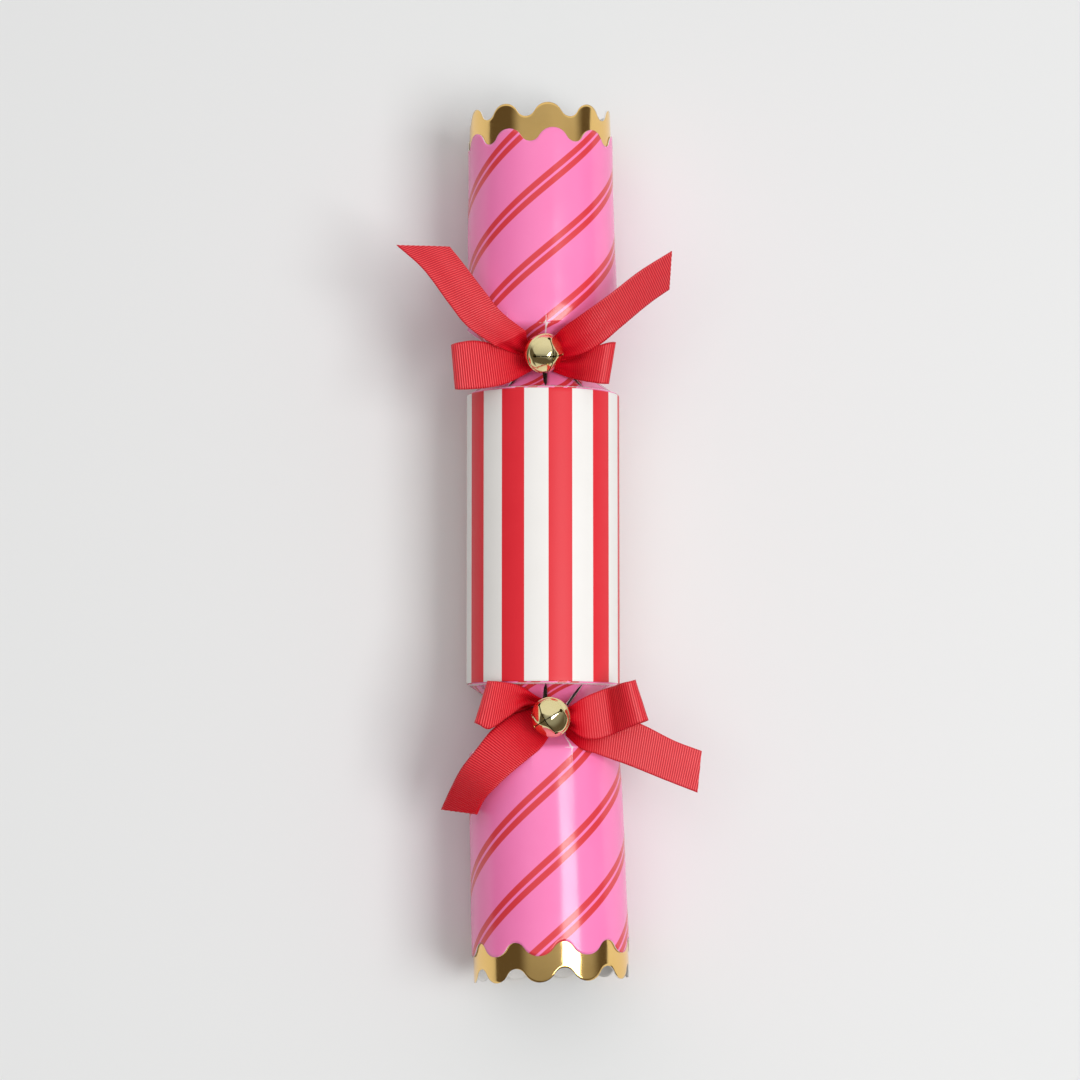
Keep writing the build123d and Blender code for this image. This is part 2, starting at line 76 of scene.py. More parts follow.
tube_card = 0.8 * mm
settle_height = 0.22 * mm
settle_size = 17.0 * mm
settle_start = 8.0 * mm
# White along the fold at the crease fades out over this length: rubbed paper with a painted highlight on the
# fold.
fold_wear_and_highlight = 0.9 * mm
finger_rim = 3.0 * mm
finger_lift = 0.25 * mm
barrel_print_slope = 2.66
barrel_print_phase = 18.2
steps_per_panel = 20

# Sizes of the ribbon and the bells
ribbon_width = 15.0 * mm
ribbon_thickness = 0.36 * mm
rib_pitch = 0.78 * mm
rib_height = 0.05 * mm
samples_per_rib = 5
warp_threads = 48
pleat_height = 2.2 * mm
# Painted shade on the ribbon: a darker crimson with less gloss at one shaded tip, near the knots, and over
# the whole wrap and knot.
painted_tip_shade = 0.9
painted_shade_reach = 14.0 * mm
bell_radius = 6.5 * mm
bell_wall = 0.5 * mm
bell_slot = 0.36 * mm
slot_end_radius = 0.6 * mm
slot_end_angle = 58.0
slot_lip = 0.16 * mm
petal_tilt = 42.0
petal_flat = 0.86
petal_press = 0.6
seam_bead = 0.25 * mm
seam_height = 0.8 * mm
eye_wire = 0.8 * mm
eye_half_width = 1.4 * mm
eye_leg = 0.6 * mm
thread_room = 0.9 * mm
thread_arch = 1.9 * mm
thread_diameter = 0.6 * mm
knot_floor = 15.3 * mm
knot_height = 4.0 * mm
knot_top = knot_floor + knot_height
knot_half_deep = 3.6 * mm
knot_half_high = knot_height / 2 - 0.4 * mm
knot_half_wide = 4.9 * mm
knot_turn = 3.6 * (knot_half_deep + knot_half_high)
knot_waist = 0.16
knot_pucker = 0.14
wrap_radius = 14.5 * mm
wrap_waver = 0.12 * mm
# Painted shade, laid evenly over the wrap and the knot.
gathered_painted_shade = 0.8

# Places along the neck and radii of the pleats in the ribbon round it, in millimetres
wrap_pleats = [
    (-2.9, 14.3),
    (-1.9, 14.8),
    (-1.2, 12.6),
    (-0.4, 14.9),
    (0.4, 12.7),
    (1.2, 14.9),
    (1.9, 12.9),
    (2.9, 14.4),
]

# The two ends of the cracker. Each ribbon end and loop is given by pairs of points on its two edges,
# in millimetres, with heights above the axis of the cracker; a stretch ends at a sharp fold.
# Angles are in degrees, and a crest angle is the turn from straight up to a crest of the wavy edge
ENDS = {
    "top": {
        "side": 1,
        "lean": -0.7,
        "rise": 1.6,
        "corner": 2.6,
        "tail_length": 74.6 * mm,
        "mouth_radius": 24.6 * mm,
        "pink_crest_angle": 10.0,
        "gold_crest_angle": 6.5,
        "relaxing": 7.0 * mm,
        "print_slope": 2.77,
        "print_phase": 3.2,
        "knot_x": -1.5 * mm,
        "bell_lean": (0.5, -0.29, 0.815),
        "bell_face": (0.5, -0.29, 0.815),
        "bell_eye": (-3.5 * mm, 1.9 * mm),
        "slot_turn": 8.0,
        "loops": {
            "left": [
                [
                    ((-3.4, 61.3, 17.8), (-2.7, 56.5, 17.8)),
                    ((-7.7, 62.3, 20.6), (-7.1, 53.5, 20.6)),
                    ((-14.4, 63.5, 24.0), (-12.7, 50.3, 24.3)),
                    ((-22.7, 64.7, 26.2), (-19.4, 48.7, 26.2)),
                    ((-28.4, 64.0, 26.4), (-27.0, 48.2, 26.0)),
                    ((-30.6, 63.5, 24.2), (-29.3, 48.7, 23.6)),
                    ((-28.5, 64.2, 21.2), (-27.2, 49.1, 20.8)),
                    ((-17.8, 63.4, 19.6), (-16.1, 51.2, 19.6)),
                    ((-4.0, 61.2, 16.2), (-3.4, 57.1, 16.2)),
                ]
            ],
            "right": [
                [
                    ((4.4, 60.0, 17.4), (3.4, 55.6, 17.4)),
                    ((9.7, 61.0, 19.6), (8.4, 53.3, 19.6)),
                    ((15.7, 62.7, 23.4), (13.7, 51.4, 23.6)),
                    ((21.0, 63.8, 25.4), (19.0, 50.3, 25.4)),
                    ((24.2, 64.5, 23.8), (21.9, 50.4, 23.8)),
                    ((21.1, 64.4, 22.0), (19.1, 50.9, 22.0)),
                    ((12.4, 61.9, 18.4), (10.4, 53.1, 18.4)),
                    ((4.7, 59.8, 16.0), (4.0, 56.1, 16.0)),
                ]
            ],
        },
        "ribbon_ends": {
            "left": {
                "stretches": [
                    [
                        ((-5.7, 60.0, 20.2), (-2.0, 62.7, 20.0)),
                        ((-11.7, 61.4, 24.2), (-5.0, 64.9, 23.8)),
                        ((-16.1, 62.7, 27.6), (-5.7, 67.8, 26.6)),
                    ],
                    [
                        ((-16.1, 62.7, 27.6), (-5.7, 67.8, 26.6)),
                        ((-25.4, 69.3, 28.4), (-13.8, 74.1, 27.6)),
                        ((-31.7, 77.2, 28.2), (-20.2, 82.0, 27.8)),
                        ((-40.1, 88.6, 27.4), (-28.8, 93.3, 27.2)),
                        ((-49.1, 96.9, 26.2), (-36.3, 102.1, 26.2)),
                        ((-57.3, 104.9, 25.2), (-43.4, 110.6, 25.2)),
                    ],
                ],
                "cut": ((-49.1, 96.9), (-31.5, 96.3)),
            },
            "right": {
                "stretches": [
                    [
                        ((2.0, 64.6, 20.6), (4.3, 59.6, 20.6)),
                        ((6.3, 68.7, 26.2), (12.4, 60.4, 23.6)),
                        ((13.3, 73.2, 30.4), (19.3, 63.8, 24.4)),
                        ((22.3, 79.4, 32.4), (26.4, 69.9, 23.6)),
                        ((32.3, 87.3, 31.4), (36.5, 78.5, 22.0)),
                        ((43.0, 94.4, 29.0), (47.3, 86.1, 19.8)),
                        ((47.2, 97.6, 28.0), (51.7, 89.2, 19.0)),
                    ]
                ],
                "cut": ((43.0, 94.4), (42.4, 82.9)),
            },
        },
    },
    "bottom": {
        "side": -1,
        "lean": 1.9,
        "rise": 1.2,
        "corner": 21.0,
        "tail_length": 77.0 * mm,
        "mouth_radius": 26.5 * mm,
        "pink_crest_angle": 27.5,
        "gold_crest_angle": 27.5,
        "relaxing": 12.0 * mm,
        "print_slope": 2.6,
        "print_phase": 23.6,
        "knot_x": 2.8 * mm,
        "bell_lean": (-0.1, -0.05, 0.994),
        "bell_face": (-0.32, -0.2, 0.926),
        "bell_eye": (3.4 * mm, 0.0 * mm),
        "slot_turn": 29.0,
        "loops": {
            "left": [
                [
                    ((-1.7, -54.7, 18.4), (-1.0, -57.0, 18.4)),
                    ((-5.7, -51.5, 21.5), (-6.3, -57.1, 21.5)),
                    ((-9.6, -49.9, 24.4), (-11.6, -60.8, 24.4)),
                    ((-14.3, -49.2, 26.2), (-17.6, -64.9, 26.2)),
                    ((-16.9, -49.0, 26.4), (-21.2, -63.5, 26.2)),
                    ((-18.3, -48.9, 24.4), (-22.6, -62.8, 24.2)),
                    ((-16.3, -49.2, 22.4), (-20.3, -63.1, 22.2)),
                    ((-10.3, -50.4, 20.6), (-12.7, -60.4, 20.6)),
                    ((-2.4, -54.6, 17.0), (-2.0, -56.3, 17.0)),
                ]
            ],
            "right": [
                [
                    ((6.3, -58.7, 20.0), (7.0, -63.0, 20.0)),
                    ((9.6, -56.9, 24.4), (9.9, -65.5, 24.4)),
                    ((13.2, -54.6, 25.6), (13.2, -67.8, 25.6)),
                    ((16.9, -52.9, 25.2), (18.0, -68.3, 25.2)),
                    ((20.9, -51.4, 25.2), (22.8, -66.8, 25.0)),
                    ((23.5, -50.7, 27.4), (25.8, -65.6, 27.2)),
                    ((26.0, -49.8, 29.8), (29.3, -64.0, 29.6)),
                    ((28.7, -49.2, 30.4), (32.6, -62.7, 30.2)),
                    ((30.4, -48.7, 28.4), (34.7, -62.1, 28.2)),
                    ((28.8, -49.3, 26.4), (32.7, -62.9, 26.2)),
                    ((20.9, -51.9, 23.4), (22.9, -66.1, 23.4)),
                    ((12.3, -56.1, 20.6), (13.3, -66.0, 20.6)),
                    ((6.6, -59.3, 17.7), (7.6, -63.0, 17.7)),
                ]
            ],
        },
        "ribbon_ends": {
            "left": {
                "stretches": [
                    [
                        ((-3.0, -57.6, 16.6), (2.3, -66.7, 19.0)),
                        ((-10.3, -60.0, 19.4), (-0.7, -71.1, 25.4)),
                        ((-17.0, -65.1, 23.4), (-5.0, -74.8, 26.4)),
                        ((-22.4, -71.8, 23.4), (-10.9, -79.7, 26.8)),
                        ((-27.1, -77.7, 20.4), (-16.2, -84.7, 25.6)),
                        ((-30.7, -84.1, 13.6), (-19.9, -88.9, 22.8)),
                        ((-34.2, -91.4, 6.4), (-23.5, -96.8, 18.4)),
                        ((-36.2, -96.2, 2.6), (-25.5, -101.5, 15.6)),
                    ]
                ],
                "cut": ((-34.2, -91.4), (-22.4, -93.0)),
                # Painted shade over the end of this ribbon, up to its cut.
                "shaded_tip": 26.0 * mm,
            },
            "right": {
                "stretches": [
                    [
                        ((5.7, -60.3, 16.4), (7.6, -66.7, 18.6)),
                        ((12.3, -59.4, 19.2), (12.2, -71.1, 22.8)),
                        ((18.9, -60.4, 21.6), (17.9, -73.1, 23.4)),
                        ((26.2, -61.4, 22.4), (22.9, -74.9, 22.8)),
                        ((32.8, -63.2, 22.2), (28.8, -77.0, 22.3)),
                        ((43.6, -68.6, 21.4), (39.5, -81.3, 21.4)),
                        ((52.7, -72.0, 20.4), (48.8, -84.9, 20.4)),
                        ((57.5, -74.0, 20.0), (54.1, -86.9, 20.0)),
                    ]
                ],
                "cut": ((52.7, -72.0), (51.3, -85.6)),
            },
        },
    },
}


# Shader node helpers


def new_material(name):
    """Material with an empty node tree, its Principled shader and its links."""
    material = bpy.data.materials.new(name)
    material.use_nodes = True
    nodes = material.node_tree.nodes
    nodes.clear()
    shader = nodes.new("ShaderNodeBsdfPrincipled")
    output = nodes.new("ShaderNodeOutputMaterial")
    material.node_tree.links.new(shader.outputs["BSDF"], output.inputs["Surface"])
    return material, material.node_tree, shader


def put(tree, kind, inputs=None, **settings):
    """Add a node, set its properties, and set or link its inputs."""
    node = tree.nodes.new(kind)
    for key, value in settings.items():
        setattr(node, key, value)
    for key, value in (inputs or {}).items():
        if isinstance(value, bpy.types.NodeSocket):
            tree.links.new(value, node.inputs[key])
        else:
            node.inputs[key].default_value = value
    return node


def calc(tree, operation, first, second=0.0, third=0.0):
    """Result of one Math node."""
    values = {0: first, 1: second, 2: third}
    return put(tree, "ShaderNodeMath", values, operation=operation).outputs[0]


def mix_colour(tree, share, first, second):
    """Colour between two colours."""
    node = put(tree, "ShaderNodeMix", {"Factor": share}, data_type="RGBA")
    for socket, value in ((node.inputs[6], first), (node.inputs[7], second)):
        if isinstance(value, bpy.types.NodeSocket):
            tree.links.new(value, socket)
        else:
            socket.default_value = (*value, 1.0)
    return node.outputs[2]


def soft_step(tree, value, low, high):
    """0 below one level, 1 above another, smooth between."""
    node = put(
        tree,
        "ShaderNodeMapRange",
        {"Value": value, "From Min": low, "From Max": high},
        interpolation_type="SMOOTHSTEP",
    )
    return node.outputs["Result"]


def shader_group(name, inputs, outputs):
    """Empty node group with float inputs and float outputs; returns the tree and its two end nodes."""
    tree = bpy.data.node_groups.new(name, "ShaderNodeTree")
    for label, value in inputs.items():
        socket = tree.interface.new_socket(label, in_out="INPUT", socket_type="NodeSocketFloat")
        socket.default_value = value
    for label in outputs:
        tree.interface.new_socket(label, in_out="OUTPUT", socket_type="NodeSocketFloat")
    return tree, tree.nodes.new("NodeGroupInput"), tree.nodes.new("NodeGroupOutput")


def use_group(tree, group, **values):
    """Place a node group; names of inputs have underscores for spaces."""
    inputs = {key.replace("_", " "): value for key, value in values.items()}
    return put(tree, "ShaderNodeGroup", inputs, node_tree=group).outputs


def fibre_group():
    """Paper fibre: cloudy tone and fine felt, from the place on the object."""
    scales = {"Cloud Scale": 60.0, "Felt Scale": 900.0}
    tree, start, end = shader_group("paper_fibre", scales, ("Cloud", "Felt"))
    place = tree.nodes.new("ShaderNodeTexCoord").outputs["Object"]
    for label, detail in (("Cloud", 3.0), ("Felt", 5.0)):
        texture = put(
            tree,
            "ShaderNodeTexNoise",
            {"Vector": place, "Scale": start.outputs[f"{label} Scale"], "Detail": detail, "Roughness": 0.6},
        )
        tree.links.new(texture.outputs["Fac"], end.inputs[label])
    return tree


def print_group():
    """Twin diagonal lines of the wrapper: turn in degrees, place along the cracker in millimetres."""
    sizes = {"Turn": 0.0, "Along": 0.0, "Slope": 2.66, "Phase": 0.0}
    sizes.update({"Pitch": 66.0, "Line Offset": 5.0, "Half Line": 3.5})
    tree, start, end = shader_group("twin_diagonal_lines", sizes, ("Line",))
    given = start.outputs
    here = calc(tree, "MULTIPLY_ADD", given["Along"], given["Slope"], given["Phase"])
    shifted = calc(tree, "SUBTRACT", given["Turn"], here)
    half_pitch = calc(tree, "MULTIPLY", given["Pitch"], 0.5)
    wrapped = calc(tree, "WRAP", shifted, half_pitch, calc(tree, "MULTIPLY", half_pitch, -1.0))
    from_pair = calc(tree, "ABSOLUTE", wrapped)
    from_line = calc(tree, "ABSOLUTE", calc(tree, "SUBTRACT", from_pair, given["Line Offset"]))
    edge = 0.45
    inside = calc(tree, "SUBTRACT", given["Half Line"], from_line)
    tree.links.new(soft_step(tree, inside, -edge, edge), end.inputs["Line"])
    return tree


paper_fibre = fibre_group()
twin_lines = print_group()


def bump(tree, height, strength, distance):
    """Normal from a height."""
    values = {"Height": height, "Strength": strength, "Distance": distance}
    return put(tree, "ShaderNodeBump", values).outputs["Normal"]


def paper_place(tree):
    """Turn in degrees and place along in millimetres, from the paper's own map."""
    place = put(tree, "ShaderNodeUVMap", uv_map="paper").outputs["UV"]
    split = put(tree, "ShaderNodeSeparateXYZ", {"Vector": place}).outputs
    turn = calc(tree, "MULTIPLY", split["X"], 360.0)
    along = calc(tree, "MULTIPLY", split["Y"], 100.0)
    return turn, along


def pink_paper(name, slope, phase):
    """Gloss pink paper printed with twin red lines, white along the creases from rubbed paper and painted
    fold highlights.
    """
    material, tree, shader = new_material(name)
    turn, along = paper_place(tree)
    line = use_group(tree, twin_lines, Turn=turn, Along=along, Slope=slope, Phase=phase)["Line"]
    fibre = use_group(tree, paper_fibre, Cloud_Scale=45.0, Felt_Scale=1400.0)
    pink = mix_colour(tree, fibre["Cloud"], (0.94, 0.205, 0.475), (0.98, 0.25, 0.54))
    red = mix_colour(tree, fibre["Cloud"], (0.68, 0.042, 0.055), (0.76, 0.058, 0.072))
    printed = mix_colour(tree, line, pink, red)
    # White at creases and corners: partly rubbed paper, partly a painted highlight on the fold edges.
    wear_and_painted_light = put(tree, "ShaderNodeAttribute", attribute_name="wear_and_painted_light").outputs["Fac"]
    wear_and_highlight_level = calc(tree, "MULTIPLY_ADD", fibre["Felt"], 0.7, wear_and_painted_light)
    patchy = soft_step(tree, wear_and_highlight_level, 0.82, 1.2)
    worn_and_highlit = mix_colour(tree, patchy, printed, (0.9, 0.84, 0.86))
    tree.links.new(worn_and_highlit, shader.inputs["Base Color"])
    gloss = calc(tree, "MULTIPLY_ADD", fibre["Cloud"], 0.06, 0.16)
    tree.links.new(calc(tree, "MULTIPLY_ADD", patchy, 0.3, gloss), shader.inputs["Roughness"])
    tree.links.new(bump(tree, fibre["Felt"], 0.05, 0.0001), shader.inputs["Normal"])
    shader.inputs["Specular IOR Level"].default_value = 0.55
    return material


def tail_print(end_name):
    """Printed paper of one tail."""
    end = ENDS[end_name]
    return pink_paper(f"pink_{end_name}_paper", end["print_slope"], end["print_phase"])


def plain_paper(name, light, dark, roughness):
    """Uncoated paper or card with cloudy tone and felt."""
    material, tree, shader = new_material(name)
    fibre = use_group(tree, paper_fibre, Cloud_Scale=120.0, Felt_Scale=1100.0)
    shade = calc(tree, "MULTIPLY_ADD", fibre["Felt"], 0.6, calc(tree, "MULTIPLY", fibre["Cloud"], 0.4))
    tree.links.new(mix_colour(tree, shade, dark, light), shader.inputs["Base Color"])
    tree.links.new(calc(tree, "MULTIPLY_ADD", fibre["Cloud"], 0.12, roughness), shader.inputs["Roughness"])
    tree.links.new(bump(tree, fibre["Felt"], 0.3, 0.00015), shader.inputs["Normal"])
    return material


def striped_paper():
    """Satin paper of the band: ten red stripes along the barrel on white."""
    material, tree, shader = new_material("striped_band_paper")
    turn = paper_place(tree)[0]
    stripe_turn = 36.0
    middle_of_red = 13.0
    half_red = 9.0
    shifted = calc(tree, "SUBTRACT", turn, middle_of_red)
    wrapped = calc(tree, "WRAP", shifted, stripe_turn / 2, -stripe_turn / 2)
    inside = calc(tree, "SUBTRACT", half_red, calc(tree, "ABSOLUTE", wrapped))
    edge = 0.25
    stripe = soft_step(tree, inside, -edge, edge)
    fibre = use_group(tree, paper_fibre, Cloud_Scale=50.0, Felt_Scale=1300.0)
    white = mix_colour(tree, fibre["Cloud"], (0.83, 0.81, 0.78), (0.89, 0.87, 0.85))
    red = mix_colour(tree, fibre["Cloud"], (0.72, 0.020, 0.034), (0.79, 0.030, 0.044))
    tree.links.new(mix_colour(tree, stripe, white, red), shader.inputs["Base Color"])
    tree.links.new(calc(tree, "MULTIPLY_ADD", fibre["Cloud"], 0.1, 0.34), shader.inputs["Roughness"])
    shader.inputs["Specular IOR Level"].default_value = 0.28
    tree.links.new(bump(tree, fibre["Felt"], 0.06, 0.0001), shader.inputs["Normal"])
    return material


def gold_foil():
    """Mirror foil on card, a little uneven."""
    material, tree, shader = new_material("gold_foil")
    fibre = use_group(tree, paper_fibre, Cloud_Scale=70.0, Felt_Scale=500.0)
    gold = mix_colour(tree, fibre["Cloud"], (0.90, 0.57, 0.18), (0.97, 0.66, 0.25))
    tree.links.new(gold, shader.inputs["Base Color"])
    shader.inputs["Metallic"].default_value = 1.0
    tree.links.new(calc(tree, "MULTIPLY_ADD", fibre["Felt"], 0.08, 0.07), shader.inputs["Roughness"])
    tree.links.new(bump(tree, fibre["Cloud"], 0.12, 0.0006), shader.inputs["Normal"])
    return material


def grosgrain():
    """Ribbed red ribbon: ribs across its width, a beaded selvedge along each edge; light and shade on the
    ribs and shade near the knots are painted.
    """
    material, tree, shader = new_material("red_grosgrain")
    place = put(tree, "ShaderNodeUVMap", uv_map="weave").outputs["UV"]
    split = put(tree, "ShaderNodeSeparateXYZ", {"Vector": place}).outputs
    ribs = calc(tree, "MULTIPLY", split["Y"], 2 * pi)
    rib = calc(tree, "MULTIPLY_ADD", calc(tree, "SINE", ribs), 0.5, 0.5)
    from_middle = calc(tree, "ABSOLUTE", calc(tree, "SUBTRACT", split["X"], 0.5))
    from_edge = calc(tree, "SUBTRACT", 0.5, from_middle)
    selvedge = calc(tree, "SUBTRACT", 1.0, soft_step(tree, from_edge, 0.012, 0.03))
    threads = calc(tree, "MULTIPLY", split["X"], 2 * pi * warp_threads)
    warp = calc(tree, "MULTIPLY_ADD", calc(tree, "SINE", threads), 0.5, 0.5)
    cloud = use_group(tree, paper_fibre, Cloud_Scale=140.0, Felt_Scale=1500.0)
    # Painted light and shade on the ribs: lighter crests and darker grooves, on top of the bump.
    body = mix_colour(tree, rib, (0.48, 0.0010, 0.013), (0.94, 0.014, 0.034))
    threaded = mix_colour(tree, calc(tree, "MULTIPLY", warp, 0.15), body, (0.92, 0.02, 0.035))
    edged = mix_colour(tree, calc(tree, "MULTIPLY", selvedge, 0.5), threaded, (0.6, 0.004, 0.018))
    toned = mix_colour(tree, calc(tree, "MULTIPLY", cloud["Cloud"], 0.2), edged, (0.74, 0.004, 0.022))
    # Painted shade from the mesh: towards a dark crimson, with the gloss taken away.
    painted_shade = put(tree, "ShaderNodeAttribute", attribute_name="wear_and_painted_light").outputs["Fac"]
    shaded = mix_colour(tree, calc(tree, "MULTIPLY", painted_shade, 0.94), toned, (0.64, 0.0006, 0.012))
    tree.links.new(shaded, shader.inputs["Base Color"])
    height = calc(tree, "ADD", rib, calc(tree, "MULTIPLY", warp, 0.25))
    tree.links.new(bump(tree, height, 0.8, 0.00014), shader.inputs["Normal"])
    tree.links.new(calc(tree, "MULTIPLY_ADD", rib, -0.1, 0.48), shader.inputs["Roughness"])
    lustre = calc(tree, "MULTIPLY_ADD", painted_shade, -0.95, 1.0)
    ribbed = calc(tree, "MULTIPLY", lustre, calc(tree, "MULTIPLY_ADD", rib, 1.1, 0.5))
    tree.links.new(ribbed, shader.inputs["Specular IOR Level"])
    shader.inputs["Specular Tint"].default_value = (1.0, 0.80, 0.76, 1.0)
    shader.inputs["Sheen Weight"].default_value = 0.04
    shader.inputs["Sheen Roughness"].default_value = 0.4
    shader.inputs["Sheen Tint"].default_value = (1.0, 0.6, 0.6, 1.0)
    return material


def metal(name, light, dark, roughness, scratch):
    """Bare metal, toned by the fibre clouds and finely scratched."""
    material, tree, shader = new_material(name)
    fibre = use_group(tree, paper_fibre, Cloud_Scale=220.0, Felt_Scale=2600.0)
    tree.links.new(mix_colour(tree, fibre["Cloud"], dark, light), shader.inputs["Base Color"])
    shader.inputs["Metallic"].default_value = 1.0
    tree.links.new(calc(tree, "MULTIPLY_ADD", fibre["Felt"], scratch, roughness), shader.inputs["Roughness"])
    return material


def moulded_plastic():
    """Gloss plastic of the gift, with a faint swirl."""
    material, tree, shader = new_material("gift_plastic")
    fibre = use_group(tree, paper_fibre, Cloud_Scale=150.0, Felt_Scale=700.0)
    blue = mix_colour(tree, fibre["Cloud"], (0.02, 0.12, 0.42), (0.05, 0.22, 0.62))
    tree.links.new(blue, shader.inputs["Base Color"])
    tree.links.new(calc(tree, "MULTIPLY_ADD", fibre["Felt"], 0.1, 0.2), shader.inputs["Roughness"])
    return material


materials = {
    "striped_paper": striped_paper(),
    "pink_barrel": pink_paper("pink_barrel_paper", barrel_print_slope, barrel_print_phase),
    "pink_top": tail_print("top"),
    "pink_bottom": tail_print("bottom"),
    "white_paper": plain_paper("white_paper_back", (0.88, 0.86, 0.84), (0.72, 0.70, 0.67), 0.6),
    "gold_foil": gold_foil(),
    "tube_card": plain_paper("tube_card", (0.46, 0.35, 0.24), (0.26, 0.19, 0.12), 0.75),
    "snap_card": plain_paper("snap_card", (0.56, 0.49, 0.38), (0.38, 0.32, 0.24), 0.75),
    "snap_coat": plain_paper("snap_coat", (0.09, 0.08, 0.075), (0.03, 0.028, 0.026), 0.8),
    "tissue": plain_paper("crown_tissue", (0.90, 0.62, 0.12), (0.72, 0.44, 0.06), 0.7),
    "red_ribbon": grosgrain(),
    "bell_brass": metal("bell_brass", (0.95, 0.84, 0.48), (0.84, 0.71, 0.34), 0.05, 0.09),
    "pellet_steel": metal("pellet_steel", (0.62, 0.62, 0.63), (0.42, 0.42, 0.43), 0.2, 0.2),
    "thread": plain_paper("gold_thread", (0.80, 0.60, 0.24), (0.50, 0.34, 0.10), 0.5),
    "gift_plastic": moulded_plastic(),
}


# Mesh helpers


def add_piece(name, mesh, slots, body, replaced):
    """Put a mesh in the scene as a piece that stands for CAD nodes and rides on a body."""
    piece = bpy.data.objects.new(name, mesh)
    bpy.context.scene.collection.objects.link(piece)
    for key in slots:
        mesh.materials.append(materials[key])
    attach(piece, body)
    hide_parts(*replaced)
    return piece


def thicken(piece, thickness, back=1, rim=1, offset=-1.0):
    """Give a sheet its thickness, with other materials on its back and on its rim."""
    layer = piece.modifiers.new("paper thickness", "SOLIDIFY")
    layer.thickness = thickness
    layer.offset = offset
    layer.material_offset = back
    layer.material_offset_rim = rim
    layer.use_even_offset = True
    return layer


def sheet_mesh(name, rows, places, uv_name, closed, wear_and_painted_light=None):
    """Grid mesh from rows of points, with each point's place on its map; closed grids join at a seam."""
    mesh = bpy.data.meshes.new(name)
    build = bmesh.new()
    uv_layer = build.loops.layers.uv.new(uv_name)
    # This attribute holds white marks on paper, rubbed paper with painted highlights, and painted shade on
    # ribbon.
    mark_layer = build.verts.layers.float.new("wear_and_painted_light")
    grid = [[build.verts.new(point) for point in row] for row in rows]
    if wear_and_painted_light:
        for vert_row, mark_row in zip(grid, wear_and_painted_light):
            for vert, value in zip(vert_row, mark_row):
                vert[mark_layer] = value
    columns = len(grid[0])
    last = columns if closed else columns - 1
    for i in range(len(grid) - 1):
        for j in range(last):
            corners = ((i, j), (i, j + 1), (i + 1, j + 1), (i + 1, j))
            face = build.faces.new([grid[r][c % columns] for r, c in corners])
            face.smooth = True
            for loop, (r, c) in zip(face.loops, corners):
                loop[uv_layer].uv = places[r][c]
    build.normal_update()
    build.to_mesh(mesh)
    build.free()
    return mesh


def sample_spline(points, count):
    """Evenly spaced points on a smooth curve through the given points."""
    points = [Vector(point) for point in points]
    padded = [2 * points[0] - points[1], *points, 2 * points[-1] - points[-2]]
    fine = []
    steps = 24
    for i in range(1, len(padded) - 2):
        before, start, end, after = padded[i - 1 : i + 3]
        for step in range(steps):
            t = step / steps
            fine.append(
                0.5
                * (
                    2 * start
                    + (end - before) * t
                    + (2 * before - 5 * start + 4 * end - after) * t**2
                    + (3 * start - before - 3 * end + after) * t**3
                )
            )
    fine.append(points[-1])
    lengths = [0.0]
    for one, two in zip(fine, fine[1:]):
        lengths.append(lengths[-1] + (two - one).length)
    total = lengths[-1]
    picked = []
    index = 0
    for step in range(count):
        goal = total * step / (count - 1)
        while index < len(lengths) - 2 and lengths[index + 1] < goal:
            index += 1
        span = lengths[index + 1] - lengths[index]
        share = (goal - lengths[index]) / span if span else 0.0
        picked.append(fine[index].lerp(fine[index + 1], share))
    return picked


# Places on the cracker


class Neck:
    """Frame at the middle of a neck, with directions given by turn from straight up."""

    def __init__(self, side, distance, lean=0.0, rise=0.0):
        self.origin = Vector((0, side * distance, axis_height))
        along_y = side * cos(radians(lean))
        self.outward = Vector((sin(radians(lean)), along_y, sin(radians(rise)))).normalized()
        self.right = Vector((cos(radians(lean)), -side * sin(radians(lean)), 0))
        up = self.right.cross(self.outward)
        self.up = up if up.z > 0 else -up

    def point(self, turn, along, radius):
        """Point at a turn in degrees, so far along the tail, so far from its axis."""
        spoke = self.up * cos(radians(turn)) + self.right * sin(radians(turn))
        return self.origin + self.outward * along + spoke * radius


def panel_radius(corner_radius, turn, corner):
    """Radius of a twelve-sided section at a turn."""
    from_middle = (turn - corner) % panel_turn - panel_turn / 2
    return corner_radius * cos(radians(panel_turn / 2)) / cos(radians(from_middle))


def near_corner(turn, corner, reach):
    """1 at a corner of the panels, falling to 0 at 'reach' degrees from it."""
    off = (turn - corner) % panel_turn
    off = min(off, panel_turn - off)
    return max(0.0, 1 - off / reach)


def gold_crest(end):
    """Distance from the middle of the neck to the crests of the foil."""
    return crease + end["tail_length"]


def pink_crest(end):
    """Distance from the middle of the neck to the crests of the wrapper."""
    return gold_crest(end) - foil_reveal


def tail_radius(end, along):
    """Outside radius of a tail at its corners."""
    share = (along - crease) / (pink_crest(end) - crease)
    return crease_radius + share * (end["mouth_radius"] - crease_radius)


def relaxing_radius(end, turn, along, inset):
    """Radius of a tail that starts twelve-sided at the crease and soon becomes round."""
    flatness = min(max(1 - (along - crease) / end["relaxing"], 0.0), 1.0) ** 2
    corner_radius = tail_radius(end, along)
    dip = corner_radius - panel_radius(corner_radius, turn, end["corner"])
    return corner_radius - flatness * dip - inset


